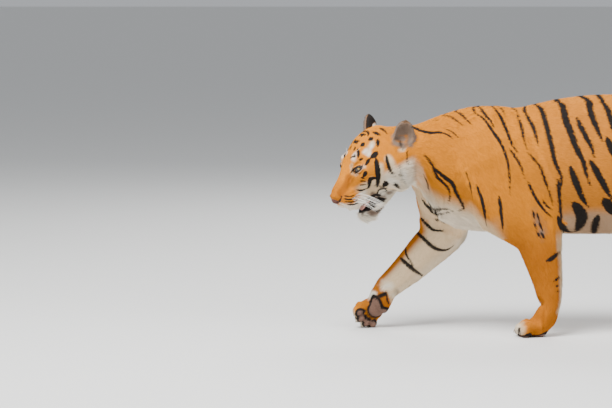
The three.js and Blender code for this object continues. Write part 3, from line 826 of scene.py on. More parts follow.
class Markings:
    """Where each colour of the coat is, as strokes laid on the skin."""

    def __init__(self, tree):
        self.tree = tree
        self.strokes = []

    def cast(self, places, step=2.0):
        found = []
        for px, py in spline(places, step):
            hit = self.tree.ray_cast(EYEPOINT.tolist(), sight(px, py).tolist())[0]
            if hit is not None:
                found.append(np.array(hit))
        return found

    def lay(self, channel, line, half, soft=0.0016, taper=True):
        if len(line):
            self.strokes.append((channel, np.array(line), half, soft, taper))

    def snapped(self, points, reach=0.09):
        out = []
        for p in points:
            hit = self.tree.find_nearest(p.tolist(), reach)[0]
            if hit is not None:
                out.append(np.array(hit))
        return out

    def across(self, line, shift=0.0):
        """The same line on the other side of the body."""
        return self.snapped([np.array([p[0] + shift, -p[1], p[2]]) for p in line])

    def far_cheek(self, line):
        local = into(HEAD, np.array(line))
        return self.snapped(through(HEAD, local * [1, -1, 1]), 0.03)

    def round_limb(self, a, b, share, start, end, slant, half, front, points=14):
        """A bar round a limb from a to b, from one angle to another; 0 is the front, 90 the outer side."""
        a, b = np.array(a), np.array(b)
        way = unit(b - a)
        side = unit(np.cross(way, front))
        ahead = np.cross(side, way)
        line = []
        for t in np.linspace(0, 1, points):
            angle = math.radians(start + (end - start) * t)
            origin = a + (b - a) * (share + slant * (t - 0.5))
            out = ahead * math.cos(angle) + side * math.sin(angle)
            hit = self.tree.ray_cast(origin.tolist(), out.tolist(), 0.2)[0]
            if hit is not None:
                line.append(np.array(hit))
        self.lay("ink", line, half)

    def paint(self, points, channel, least=0.0):
        """The strength of one channel's strokes at each point, with edges at least so soft."""
        value = np.zeros(len(points))
        wobble = NOISE(points, 0.013) * 0.0011 + NOISE(points + 3.3, 0.0045) * 0.0006
        for kind, line, half, soft, taper in self.strokes:
            if kind != channel:
                continue
            soft, half = max(soft, least), max(half, least * 0.42)
            margin = half + soft * 2 + 0.002
            close = ((points > line.min(0) - margin) & (points < line.max(0) + margin)).all(1)
            index = np.nonzero(close)[0]
            if not len(index):
                continue
            gap, where = along(points[index], line)
            width = half
            if taper:  # pointed at both ends and broadest before the middle
                width = half * np.sqrt(np.clip(np.sin(np.pi * np.clip(where, 0.01, 0.97) ** 0.7), 0, 1))
            uneven = wobble[index] if kind == "ink" else NOISE(points[index], 0.02) * soft * 0.8
            here = smoothstep(soft, -soft, gap - width + uneven)
            value[index] = np.maximum(value[index], here)
        return value


# The middles of the limbs, in metres, from the shoulder or hip down.
LIMBS = {
    "foreleg_left": ((-0.491, -0.099, 0.78), (-0.301, -0.132, 0.432), (-0.227, -0.125, 0.098)),
    "foreleg_right": ((-0.571, 0.101, 0.78), (-0.626, 0.125, 0.405), (-0.863, 0.105, 0.156)),
    "hindleg_left": (
        (0.449, -0.089, 0.77), (0.399, -0.137, 0.47), (0.677, -0.128, 0.232), (0.685, -0.126, 0.092),
    ),
    "hindleg_right": (
        (0.439, 0.091, 0.77), (0.279, 0.137, 0.47), (0.361, 0.127, 0.236), (0.321, 0.125, 0.092),
    ),
}
# The middle of the tail, in metres, from its root to its tip.
TAIL = (
    (0.469, 0.001, 0.80), (0.549, 0.001, 0.806), (0.639, 0.005, 0.73), (0.709, 0.013, 0.60),
    (0.759, 0.025, 0.45), (0.811, 0.037, 0.316), (0.899, 0.045, 0.236), (1.001, 0.047, 0.240),
    (1.069, 0.043, 0.300),
)
# The pale underside: place along the body, height and reach, in metres.
UNDERLINE = (
    (-0.80, 0.50, 0.10), (-0.70, 0.47, 0.15), (-0.58, 0.41, 0.19), (-0.42, 0.395, 0.18),
    (-0.25, 0.39, 0.185), (-0.05, 0.385, 0.20), (0.15, 0.385, 0.195), (0.32, 0.41, 0.18),
    (0.44, 0.50, 0.14),
)


def paw_frame(at, yaw, pitch=0, roll=0):
    """A paw's own frame: +X forward, +Y to the tiger's left, sole at Z = 0 under the main pad."""
    return (
        Matrix.Translation(at)
        @ Matrix.Rotation(math.radians(180 + yaw), 4, "Z")
        @ Matrix.Rotation(math.radians(pitch), 4, "Y")
        @ Matrix.Rotation(math.radians(roll), 4, "X")
    )


PAWS = {
    "forepaw_left": paw_frame((-0.277, -0.123, 0), 4),
    "forepaw_right": paw_frame((-0.909, 0.097, 0.064), -6, 44, 62),
    "hindpaw_left": paw_frame((0.655, -0.125, 0), 4),
    "hindpaw_right": paw_frame((0.289, 0.125, 0), -4),
}


def lay_all(marks):
    """Lays every stripe and patch, on both sides."""
    rng = np.random.default_rng(SEED + 1)
    for half, *places in SIDE_STRIPES:
        half *= FLANK_BOLD if FLANK[0] < places[0][0] < FLANK[1] else SIDE_BOLD
        line = marks.cast(places)
        marks.lay("ink", line, half)
        if not line or np.mean(line, axis=0)[1] > 0:
            continue
        shift = 0.018 + rng.normal(0, 0.006)
        marks.lay("ink", marks.across(line, shift), half * rng.uniform(0.85, 1.1))
        top = line[0]
        if top[2] > 0.80 and abs(top[1]) < 0.11 and half > 0.003:  # runs on over the spine
            over = [top + (np.array([top[0] - 0.012, s, 0.99]) - top) * k for k, s in ((0.5, 0), (1, 0.01))]
            marks.lay("ink", [top, *marks.snapped(over, 0.12)], half * 0.8, taper=False)
    for half, *places in LEG_STRIPES:
        marks.lay("ink", marks.cast(places), half * LEG_BOLD)
    for channel, radius, soft, *places in PAW_PATCHES:
        marks.lay(channel, marks.cast(places), radius * MM, soft * MM, taper=False)
    for half, *places in FACE_STRIPES:
        line = marks.cast(places, 1.0)
        marks.lay("ink", line, half * FACE_BOLD, 0.0012)
        if line:
            marks.lay("ink", marks.far_cheek(line), half * FACE_BOLD, 0.0012)
    for channel, radius, *places in FACE_PATCHES:
        line = marks.cast(places, 2.0)
        marks.lay(channel, line, radius * MM, 0.009, taper=False)
        if line:
            marks.lay(channel, marks.far_cheek(line), radius * MM, 0.009, taper=False)

    front = (-1.0, 0, 0)
    for side, s in (("left", -1), ("right", 1)):
        limbs = {"fore": LIMBS[f"foreleg_{side}"], "hind": LIMBS[f"hindleg_{side}"]}
        for which, joint, share, start, end, slant, half in LEG_BARS:
            if which == "fore" and (start < 0 if side == "right" else start > 0):
                continue  # LEG_STRIPES has these
            a, b = limbs[which][joint : joint + 2]
            marks.round_limb(a, b, share, s * start, s * end, slant, half * BAR_BOLD, front)

    # Rings round the tail, closer and darker towards the black tip.
    lengths = np.linalg.norm(np.diff(np.array(TAIL), axis=0), axis=1)
    total = lengths.sum()
    for i in range(13):
        at = 0.14 + 0.74 * (i / 12) ** 0.95
        reach, k = at * total, 0
        while reach > lengths[k]:
            reach -= lengths[k]
            k += 1
        half = 0.0065 + 0.0035 * i / 12
        marks.round_limb(TAIL[k], TAIL[k + 1], reach / lengths[k], -172, 168, 0.05, half, front, 20)


def zones(marks, points, normals, owners, least=0.0):
    """Shares of white, cream, grey, rich orange and black of the coat at each point."""
    count = len(points)
    part = PARTS[owners]
    out = {c: np.zeros(count) for c in CHANNELS}

    def over(channel, mine, share):
        """Raises one channel to a share, at the places that are mine."""
        out[channel] = np.where(mine, np.maximum(out[channel], share), out[channel])

    drift = NOISE(points, 0.06) * 0.02
    drift2 = NOISE(points + 9.1, 0.022) * 0.006

    # throat, chest and belly
    under = np.array([(x, 0, z) for x, z, _ in UNDERLINE])
    gap, where = along(points, under)
    radius = np.interp(where, np.linspace(0, 1, len(UNDERLINE)), [r for *_, r in UNDERLINE])
    wide = np.abs(points[:, 1])
    ahead = points[:, 0]
    shield = smoothstep(0.12, 0.17, wide) * smoothstep(-0.45, -0.38, ahead) * smoothstep(-0.13, -0.20, ahead)
    belly = smoothstep(0.035, -0.035, gap - radius + drift) * (1 - shield)
    palest = smoothstep(0.0, -0.07, gap - radius + drift) * (1 - shield)
    body = np.isin(part, ["trunk", "neck"])
    upper = np.array(["_upper" in p for p in part])
    dusky = smoothstep(-0.32, -0.20, ahead) * smoothstep(0.16, 0.0, ahead)  # brown behind the elbow
    out["cream"] = np.where(body | upper, belly * (0.9 - 0.3 * dusky), 0)
    out["white"] = np.where(body, palest * (0.65 - 0.6 * dusky), 0)
    out["grey"] = np.where(body, smoothstep(-0.38, -0.12, ahead + drift) * 0.12 + belly * dusky * 0.45, 0)

    # legs: the inner and rear sides are pale
    for limb in LIMBS:
        inward = 1.0 if "left" in limb else -1.0
        mine = np.array([p.startswith(limb) for p in part])
        high = points[:, 2]
        rearward, inner = (0.85, 0.6) if limb == "foreleg_left" else (0.55, 0.85)
        facing = normals @ np.array([rearward, inward * inner, -0.12])
        pale = smoothstep(0.05, 0.65, facing + drift * 4)
        pale = pale * smoothstep(0.78, 0.50, high)
        over("cream", mine, pale)
        rear = smoothstep(0.55, 0.95, normals @ np.array([0.9, inward * 0.45, 0]))
        rear = rear * smoothstep(0.56, 0.42, high)
        over("white", mine, rear * 0.8)

    # paws: orange above, pale toe tips and black between the pads
    for paw, matrix in PAWS.items():
        mine = part == paw
        local = into(matrix, points) * 1000
        front = smoothstep(38, 64, local[:, 0] + drift2 * 600)
        over("cream", mine, front * 0.9)
        tips = smoothstep(58, 74, local[:, 0])
        over("white", mine, tips * 0.6)
        for between in (-29, 0, 29):
            cleft = smoothstep(4.5, 2, np.abs(local[:, 1] - between)) * smoothstep(46, 34, local[:, 2])
            cleft = cleft * smoothstep(20, 36, local[:, 0])
            over("ink", mine, cleft * 0.9)
        sole = smoothstep(16, 4, local[:, 2] + drift2 * 300) * smoothstep(-44, -30, local[:, 0])
        near = (np.linalg.norm(local, axis=1) < 115) * smoothstep(34, 22, local[:, 2])
        ring = near * smoothstep(11, 7, pads_field(local) - paw_field(local, *WRISTS[paw]))
        out["ink"] = np.maximum(out["ink"], np.where(mine, np.maximum(sole * 0.92, ring), ring))

    # tail: pale below, black at the tip
    tail = np.array([p.startswith("tail") for p in part])
    gap, where = along(points, np.array(TAIL))
    below = smoothstep(-0.1, -0.7, normals[:, 2] - normals[:, 0] * 0.4)
    out["cream"] = np.where(tail, np.maximum(below * 0.8, smoothstep(0.35, 0.8, where) * 0.7), out["cream"])
    over("ink", tail, smoothstep(0.935, 0.95, where + drift2))

    # head, in its own frame
    q = into(HEAD, points) * 1000
    side = np.abs(q[:, 1])
    headed = np.isin(part, ["head", "jaw"])
    ruff = smoothstep(70, 105, side) * smoothstep(10, -20, q[:, 2]) * smoothstep(-150, -185, q[:, 0])
    scruff = headed | (part == "neck")
    on_head = smoothstep(-325, -272, q[:, 0] + drift * 600) * smoothstep(182, 155, side)
    ruff = ruff * on_head
    over("white", scruff, ruff * 0.6)
    over("cream", scruff, ruff * 0.9)
    cheek = smoothstep(0, -22, q[:, 2] + q[:, 0] * 0.02 + 6) * smoothstep(-60, -110, q[:, 0])
    cheek = cheek * on_head
    over("cream", scruff, cheek)
    throat = smoothstep(-92, -112, q[:, 2])
    over("white", scruff, throat * on_head * 0.6)
    over("white", part == "jaw", 0.92)
    lip = smoothstep(-58, -66, q[:, 2]) * smoothstep(-120, -90, q[:, 0])
    over("white", part == "head", lip * 0.9)
    muzzle = smoothstep(-70, -30, q[:, 0]) * smoothstep(-45, -20, q[:, 2])
    clouds = smoothstep(0.0, 0.08, NOISE(points, 0.3))
    out["rich"] = np.where(headed, muzzle * 0.6, clouds * 0.18)
    shoulder = smoothstep(0.30, 0.12, np.linalg.norm((points - [-0.40, 0, 0.52]) * [1, 0.3, 0.8], axis=1))
    out["rich"] = np.maximum(out["rich"], shoulder * 0.3)
    # The forelegs' deeper orange, with painted shade: it grows from 0.58 m down to 0.32 m above the floor.
    for limb in ("foreleg_left", "foreleg_right"):
        gap, _ = along(points, np.array(LIMBS[limb]))
        deep = smoothstep(0.17, 0.07, gap) * smoothstep(0.58, 0.32, points[:, 2])
        out["rich"] = np.maximum(out["rich"], deep * 0.85)
    nape = smoothstep(0.30, 0.10, np.linalg.norm((points - [-0.70, 0, 0.80]) * [1, 0.3, 1.2], axis=1))
    out["rich"] = np.maximum(out["rich"], nape * 0.3)

    # ears: black behind with a white spot, grey-brown within
    for name, s in (("ear_left", 1), ("ear_right", -1)):
        mine = part == name
        opening = unit(np.array([0.55, 0.8 * s, 0.09]))
        behind = smoothstep(0.10, -0.25, normals @ (HEAD_TURN @ opening))
        middle = np.array([-313, 117 * s, 64])
        tip = unit(np.array([-0.45, 0.215 * s, 0.87]))
        up = (q - middle) @ tip
        spot = smoothstep(26, 20, np.linalg.norm(q - (middle - opening * 20 + tip * 14), axis=1))
        rim = smoothstep(62, 71, up)
        out["ink"] = np.where(mine, behind * (1 - spot * behind) * smoothstep(-46, -30, up), out["ink"])
        out["white"] = np.where(mine, spot * behind, out["white"])
        out["grey"] = np.where(mine, (1 - behind) * (1 - rim * 0.6), out["grey"])
        over("ink", mine, rim * 0.75)
        over("cream", mine, (1 - behind) * 0.35)

    for channel in CHANNELS:
        painted = marks.paint(points, channel, least if channel == "ink" else 0)
        out[channel] = np.maximum(out[channel], painted)
    out["white"] = out["white"] * (1 - 0.6 * marks.paint(points, "rich"))
    return out


# ---------- materials ----------
class Wire:
    """A number in a material's nodes; arithmetic on it adds Math nodes."""

    def __init__(self, finish, socket):
        self.finish, self.socket = finish, socket

    def math(self, operation, *others):
        return self.finish.node("Math", {"operation": operation}, dict(enumerate((self, *others))))

    def __add__(self, other):
        return self.math("ADD", other)

    def __sub__(self, other):
        return self.math("SUBTRACT", other)

    def __mul__(self, other):
        return self.math("MULTIPLY", other)

    def __rsub__(self, other):
        return self.finish.node("Math", {"operation": "SUBTRACT"}, {0: other, 1: self})

    def above(self, other):
        return self.math("GREATER_THAN", other)

    __radd__, __rmul__ = __add__, __mul__

    def clipped(self):
        return self.finish.node("Clamp", {}, {"Value": self})


class Finish:
    """A node material for one of the animal's surfaces."""

    def __init__(self, name, **constants):
        self.material = bpy.data.materials.new(name)
        self.material.use_nodes = True
        self.nodes = self.material.node_tree.nodes
        self.shader = self.nodes["Principled BSDF"]
        for key, value in constants.items():
            self.shader.inputs[key.replace("_", " ")].default_value = value

    def node(self, kind, settings, sockets, out=0):
        made = self.nodes.new("ShaderNode" + kind)
        for key, value in settings.items():
            setattr(made, key, value)
        for key, value in sockets.items():
            self.feed(made.inputs[key], value)
        return Wire(self, made.outputs[out])

    def feed(self, socket, value):
        if isinstance(value, Wire):
            self.material.node_tree.links.new(value.socket, socket)
        elif socket.type == "RGBA":
            socket.default_value = (*value, 1)
        else:
            socket.default_value = value

    def mix(self, share, a, b, blend="MIX"):
        """Colour a, with b laid over it by share."""
        made = self.nodes.new("ShaderNodeMix")
        made.data_type, made.blend_type = "RGBA", blend
        self.feed(made.inputs["Factor"], share)
        self.feed(made.inputs[6], a)
        self.feed(made.inputs[7], b)
        return Wire(self, made.outputs[2])

    def attribute(self, name):
        """The four numbers of a colour attribute."""
        made = self.nodes.new("ShaderNodeAttribute")
        made.attribute_name = name
        parts = self.nodes.new("ShaderNodeSeparateColor")
        self.material.node_tree.links.new(made.outputs["Color"], parts.inputs[0])
        return [Wire(self, parts.outputs[i]) for i in range(3)] + [Wire(self, made.outputs["Alpha"])]

    def noise(self, size, detail):
        """Noise with features of a size in metres, fixed to the object."""
        place = self.node("TexCoord", {}, {}, "Object")
        return self.node("TexNoise", {}, {"Vector": place, "Scale": 1 / size, "Detail": detail})

    def bump(self, height, strength, distance):
        return self.node("Bump", {}, {"Height": height, "Strength": strength, "Distance": distance})

    def wear(self, **links):
        for key, value in links.items():
            self.feed(self.shader.inputs[key.replace("_", " ")], value)
        return self.material


def coat_colour(finish, colours, sharp=1.0):
    """The markings, from the shares that each place of the skin or tuft carries."""
    ink, white, cream, grey = finish.attribute("tint_a")
    ink = ((ink - 0.5) * sharp + 0.5).clipped()
    rich, vary, tip, bare = finish.attribute("tint_b")
    cloud = finish.noise(0.09, 3.0)
    ground = finish.mix((rich * 0.85 + cloud * 0.3 - 0.15).clipped(), colours.orange, colours.rich)
    ground = finish.mix(cream, ground, colours.cream)
    ground = finish.mix(white, ground, colours.white)
    ground = finish.mix(grey, ground, colours.grey)
    # Each tuft is darker at random by vary, and painted shade deepens towards its root by 1 - tip; the skin
    # takes a tip share of 0.4, so it carries this painted shade as well.
    deep = (vary * 0.75 + (1 - tip) * 0.35).clipped()
    shade = finish.mix(deep, (1.12, 1.09, 1.03), (0.80, 0.74, 0.66))
    ground = finish.mix(1.0, ground, shade, "MULTIPLY")
    return finish.mix(ink, ground, colours.black), bare


def fur_material(colours):
    finish = Finish("fur_coat", Roughness=0.75, Specular_IOR_Level=0.08)
    base, _ = coat_colour(finish, colours)
    return finish.wear(Base_Color=base)


def skin_material(colours):
    finish = Finish("fur_ground", Specular_IOR_Level=0.15)
    base, bare = coat_colour(finish, colours, 5.0)
    leather, pad, lip, mouth = finish.attribute("tint_c")
    grain = finish.noise(0.004, 4.0)
    nose = finish.mix(grain, colours.leather, [c * 0.7 for c in colours.leather])
    sole = finish.mix(grain, [c * 1.5 for c in colours.pad], [c * 0.5 for c in colours.pad])
    base = finish.mix(leather, base, nose)
    base = finish.mix(pad, base, sole)
    base = finish.mix(lip, base, (0.016, 0.011, 0.010))
    base = finish.mix(mouth, base, (0.12, 0.028, 0.022))
    hair = finish.noise(0.0022, 3.0)
    relief = finish.bump(hair * (1 - bare) + grain * bare, 0.4, 0.001)
    return finish.wear(Base_Color=base, Roughness=0.72 - bare * 0.27, Normal=relief)


# ---------- the lie of the coat ----------
# Which way the hair of the body lies, and the pieces of a leg from the top.
WAYS = {"trunk": (1, 0, -0.22), "neck": (1, 0.15, -0.42)}
CHAIN = ("upper", "lower", "foot")


def lie_of_coat(points, normals, owners, mean):
    """The way that the hair points at each place of the skin: from the nose back and down the legs."""
    part = PARTS[owners]
    way = np.tile(np.array([1.0, 0, -0.2]), (len(points), 1))
    for name, direction in WAYS.items():
        way[part == name] = direction
    for limb, joints in LIMBS.items():
        for name, a, b in zip(CHAIN, joints, joints[1:]):
            way[part == f"{limb}_{name}"] = unit(np.array(b) - np.array(a)) + np.array([0.12, 0, 0])
    for paw, matrix in PAWS.items():
        way[part == paw] = np.array(matrix.to_3x3()) @ np.array([1, 0, -0.35])
    tail = np.array([p.startswith("tail") for p in part])
    line = np.array(TAIL)
    ways = unit(np.diff(line, axis=0))
    _, where = along(points, line)
    lengths = np.cumsum(np.linalg.norm(np.diff(line, axis=0), axis=1))
    way[tail] = ways[np.clip(np.searchsorted(lengths / lengths[-1], where[tail]), 0, len(ways) - 1)]

    q = into(HEAD, points) * 1000
    side = np.sign(q[:, 1])
    wide = smoothstep(15, 70, np.abs(q[:, 1]))
    low = smoothstep(10, -60, q[:, 2])
    local = np.stack([-np.ones(len(q)), side * wide * (0.25 + 0.35 * low), 0.25 - 0.75 * low], 1)
    headed = np.isin(part, ["head", "jaw"])
    way[headed] = (local @ HEAD_TURN.T)[headed]
    for name, s in (("ear_left", 1), ("ear_right", -1)):
        way[part == name] = HEAD_TURN @ np.array([-0.45, 0.215 * s, 0.87])

    for _ in range(14):
        way = way - (way * normals).sum(1, keepdims=True) * normals
        way = unit(way)
        way = mean(way) * 0.8 + way * 0.2
    way = way - (way * normals).sum(1, keepdims=True) * normals
    return unit(way)


# ---------- the coat ----------
def sample_roots(rng, v, tri, density, count):
    """Places on the skin, as a triangle and three shares of its corners."""
    cross = np.cross(v[tri[:, 1]] - v[tri[:, 0]], v[tri[:, 2]] - v[tri[:, 0]])
    weight = np.linalg.norm(cross, axis=1) * density
    total = np.cumsum(weight)
    # evenly spaced along the list of triangles, so that no patch is left thin
    at = (np.arange(count) + rng.random(count)) / count * total[-1]
    face = np.minimum(np.searchsorted(total, at), len(tri) - 1)
    a, b = rng.random(count), rng.random(count)
    flip = a + b > 1
    a[flip], b[flip] = 1 - a[flip], 1 - b[flip]
    return face, np.stack([1 - a - b, a, b], 1)


def spikes(root, way, normal, long, wide, lift, curl):
    """Closed three-sided spikes; with a curl they have a bend half way."""
    side = np.cross(normal, way)
    half, thick = (side * wide[:, None] / 2), (normal * wide[:, None] * 0.32)
    base = root - normal * 0.0012
    ring = [base - half, base + half, base + thick + normal * 0.0008]
    if curl is None:
        tip = root + (way * np.cos(lift)[:, None] + normal * np.sin(lift)[:, None]) * long[:, None]
        rows = [*ring, tip]
        faces = [(0, 2, 1), (0, 1, 3), (1, 2, 3), (2, 0, 3)]
        leans = [(-0.35, 0), (0.35, 0), (0, 0), (0, 0.15)]
        shares = [0, 0, 0, 1.0]
    else:
        first = way * np.cos(lift)[:, None] + normal * np.sin(lift)[:, None]
        second = unit(first + curl)
        middle = base + first * long[:, None] * 0.5
        tip = middle + second * long[:, None] * 0.5
        rows = [*ring, middle - half * 0.8, middle + half * 0.8, middle + thick * 0.8, tip]
        faces = [
            (0, 2, 1), (0, 1, 4), (0, 4, 3), (1, 2, 5), (1, 5, 4),
            (2, 0, 3), (2, 3, 5), (3, 4, 6), (4, 5, 6), (5, 3, 6),
        ]
        leans = [(-0.35, 0), (0.35, 0), (0, 0), (-0.3, 0), (0.3, 0), (0, 0), (0, 0.15)]
        shares = [0, 0, 0, 0.5, 0.5, 0.5, 1.0]
    shade = [normal + side * s + way * f for s, f in leans]
    return np.stack(rows, 1), np.array(faces), unit(np.stack(shade, 1)), np.array(shares)


# The two ends of the lines that the body's pieces are unrolled round.
AXES = {"trunk": ((-0.6, 0, 0.66), (0.55, 0, 0.70)), "neck": ((-0.80, -0.06, 0.69), (-0.45, 0, 0.68))}


def chart(part, points):
    """Where points lie on the unrolled skin of one sub-part: along its axis and round it, each 0 to 1."""
    if part in AXES:
        a, b = (np.array(p) for p in AXES[part])
    elif part in PAWS:
        a = np.array(PAWS[part].translation)
        b = a + np.array(PAWS[part].to_3x3()) @ np.array([0.1, 0, 0])
    elif "leg" in part:
        limb, piece = part.rsplit("_", 1)
        joints = LIMBS[limb]
        i = CHAIN.index(piece)
        a, b = np.array(joints[i]), np.array(joints[i + 1])
    elif part.startswith("tail"):
        _, where = along(points, np.array(TAIL))
        middle = np.interp(points[:, 0], [0.5, 0.8, 1.1], [0.8, 0.4, 0.25])
        return where, np.arctan2(points[:, 1] - 0.02, points[:, 2] - middle)
    else:
        a = through(HEAD, np.array([[-0.30, 0, 0.0]]))[0]
        b = through(HEAD, np.array([[0.0, 0, -0.02]]))[0]
    way = unit(b - a)
    out = unit(np.cross(way, [0.0, 1.0, 0.02]))
    away = points - a
    return away @ way, np.arctan2(away @ np.cross(way, out), away @ out)


MIDDLE = -0.02  # where the flanks' fore and hind coats meet
EARS = ["ear_left", "ear_right"]
# The coat's pieces: the sub-parts that each covers, and which of their roots it takes.
COATS = {
    "coat_flank_left_fore": (["trunk"], lambda p: (p[:, 1] < 0) & (p[:, 0] < MIDDLE)),
    "coat_flank_left_hind": (["trunk"], lambda p: (p[:, 1] < 0) & (p[:, 0] >= MIDDLE)),
    "coat_flank_right_fore": (["trunk"], lambda p: (p[:, 1] >= 0) & (p[:, 0] < MIDDLE)),
    "coat_flank_right_hind": (["trunk"], lambda p: (p[:, 1] >= 0) & (p[:, 0] >= MIDDLE)),
    "coat_neck": (["neck"], None),
    "coat_head": (["head"], None),
    "coat_jaw_ears": (["jaw", *EARS], None),
}
for SIDE in ("left", "right"):
    COATS[f"coat_foreleg_{SIDE}"] = (
        [f"foreleg_{SIDE}_upper", f"foreleg_{SIDE}_lower", f"forepaw_{SIDE}"], None
    )
for SIDE in ("left", "right"):
    COATS[f"coat_hindleg_{SIDE}"] = (
        [f"hindleg_{SIDE}_upper", f"hindleg_{SIDE}_lower", f"hindleg_{SIDE}_foot", f"hindpaw_{SIDE}"], None
    )
COATS["coat_tail"] = (["tail_base", "tail_middle", "tail_tip"], None)
PATCH = 0.003  # each tuft's size on the unrolled skin


def chart_places(parts, part, points):
    """Each root's place on its coat piece's unrolled square, with one column for each sub-part."""
    uv = np.zeros((len(points), 2))
    for i, name in enumerate(parts):
        mine = part == name
        if mine.any():
            reach, turn = chart(name, points[mine])
            reach = (reach - reach.min()) / max(np.ptp(reach), 1e-6)
            turn = (turn - turn.min()) / max(np.ptp(turn), 1e-6)
            uv[mine] = np.stack([(i + 0.01 + 0.97 * reach) / len(parts), 0.005 + 0.985 * turn], 1)
    return uv


def joined(name, blocks, material):
    """One coat piece from blocks of like tufts."""
    co, loops, shade, uv, tints = [], [], [], [], [[], []]
    start = 0
    for rows, faces, normals, shares, places, values in blocks:
        count, size = rows.shape[:2]
        index = start + np.arange(count)[:, None, None] * size + faces[None]
        loops.append(index.reshape(-1))
        co.append(rows.reshape(-1, 3))
        shade.append(normals.reshape(-1, 3))
        offsets = np.stack([shares, (np.arange(size) % 3) / 2], 1) - 0.5
        corner = places[:, None, :] + offsets[None] * PATCH
        uv.append(corner[:, faces.ravel()].reshape(-1, 2))
        for k in range(2):
            tint = np.repeat(values[k][:, None, :], size, 1)
            # the tip share, 0 at the root and 1 at the tip, sets the painted shade along each tuft
            if k == 1:
                tint[:, :, 2] = shares[None]
            tints[k].append(tint.reshape(-1, 4))
        start += count * size
    co, loops = np.vstack(co), np.concatenate(loops)
    co[:, 2] = np.maximum(co[:, 2], CLEAR)
    mesh = bpy.data.meshes.new(name)
    mesh.vertices.add(len(co))
    mesh.loops.add(len(loops))
    mesh.polygons.add(len(loops) // 3)
    mesh.vertices.foreach_set("co", co.astype(np.float32).ravel())
    mesh.loops.foreach_set("vertex_index", loops.astype(np.int32))
    mesh.polygons.foreach_set("loop_start", np.arange(0, len(loops), 3, dtype=np.int32))
    mesh.update(calc_edges=True)
    mesh.polygons.foreach_set("use_smooth", np.ones(len(loops) // 3, bool))
    layer = mesh.uv_layers.new(name="OFBake")
    layer.uv.foreach_set("vector", np.vstack(uv).astype(np.float32).ravel())
    for k, attribute in enumerate(("tint_a", "tint_b")):
        data = mesh.attributes.new(attribute, "FLOAT_COLOR", "POINT").data
        data.foreach_set("color", np.vstack(tints[k]).astype(np.float32).ravel())
    mesh.normals_split_custom_set_from_vertices(np.vstack(shade).tolist())
    mesh.materials.append(material)
    piece = put(name, mesh)
    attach(piece, "root")


HIDE = {}  # the finished skin's arrays and markings, which the coat and the whiskers read
COVER = {"head": 3.2, "jaw": 3.0, "ear": 2.6, "neck": 1.25, "paw": 2.2, "tail": 1.3}  # denser than the flank


class TIGER_OT_coat(bpy.types.Operator):
    """Covers the skin with tufts that follow the lie of the coat"""

    bl_idname = "tiger.coat"
    bl_label = "Coat"

    def execute(self, context):
        sizes = context.scene.tiger_coat
        rng = np.random.default_rng(SEED + 2)
        v, tri, n = HIDE["points"], HIDE["triangles"], HIDE["normals"]
        thick = regional(PARTS[HIDE["owners"]], 1, **COVER) * (1 - HIDE["bare"])
        few = 1
        blocks = {name: [] for name in COATS}
        for kind, count in (("short", sizes.tufts // few), ("long", sizes.long_tufts // few)):
            density = thick
            if kind == "long":
                density = HIDE["shaggy"] * (1 - HIDE["bare"]) + 0.02
            face, share = sample_roots(rng, v, tri, density[tri].mean(1), count)
            corner = tri[face]

            def mixed(values):
                """A value of the skin's points, at the roots."""
                return np.einsum("rc,rc...->r...", share, values[corner])

            root, normal, way = mixed(v), unit(mixed(n)), mixed(HIDE["way"])
            bare, shaggy = mixed(HIDE["bare"]), mixed(HIDE["shaggy"])
            owner = HIDE["owners"][corner[np.arange(count), share.argmax(1)]]
            way = unit(way - (way * normal).sum(1, keepdims=True) * normal)
            spin = rng.normal(0, 0.16, count) + NOISE(root, 0.05) * 0.18
            way = unit(way * np.cos(spin)[:, None] + np.cross(normal, way) * np.sin(spin)[:, None])
            fine = mixed(HIDE["fine"])
            long = sizes.flat * fine * rng.uniform(0.75, 1.25, count)
            wide = sizes.width * np.maximum(fine, 0.35) ** 0.7 * rng.uniform(0.8, 1.2, count)
            lift = np.radians(rng.uniform(7, 15, count))
            curl = None
            if kind == "long":
                long = (0.014 + 0.026 * shaggy) * rng.uniform(0.7, 1.2, count)
                wide = np.full(count, 0.0021) * rng.uniform(0.8, 1.3, count)
                lift = np.radians(rng.uniform(8, 16, count) + 16 * shaggy)
                curl = rng.normal(0, 0.10, (count, 3)) - normal * 0.22 + np.array([0, 0, -0.10])
            keep = bare < 0.45
            seen = HIDE["zones"](root + way * (long * 0.55)[:, None], normal, owner)
            vary = rng.random(count)
            first = np.stack([seen["ink"], seen["white"], seen["cream"], seen["grey"]], 1)
            second = np.stack([seen["rich"], vary, np.zeros(count), np.zeros(count)], 1)
            part = PARTS[owner]
            for name, (parts, test) in COATS.items():
                mine = keep & np.isin(part, parts)
                if test:
                    mine &= test(root)
                if not mine.any():
                    continue
                rows, faces, shade, shares = spikes(
                    root[mine], way[mine], normal[mine], long[mine], wide[mine], lift[mine],
                    None if curl is None else curl[mine],
                )
                places = chart_places(parts, part[mine], root[mine])
                blocks[name].append((rows, faces, shade, shares, places, (first[mine], second[mine])))
        fur = fur_material(context.scene.tiger_colours)
        for name, made in blocks.items():
            if made:
                joined(name, made, fur)
        return {"FINISHED"}


# ---------- the skin ----------
def regional(part, default, **values):
    """A number for each point, by the sub-part that it belongs to."""
    out = np.full(len(part), float(default))
    for key, value in values.items():
        out[np.char.find(part, key) >= 0] = value
    return out


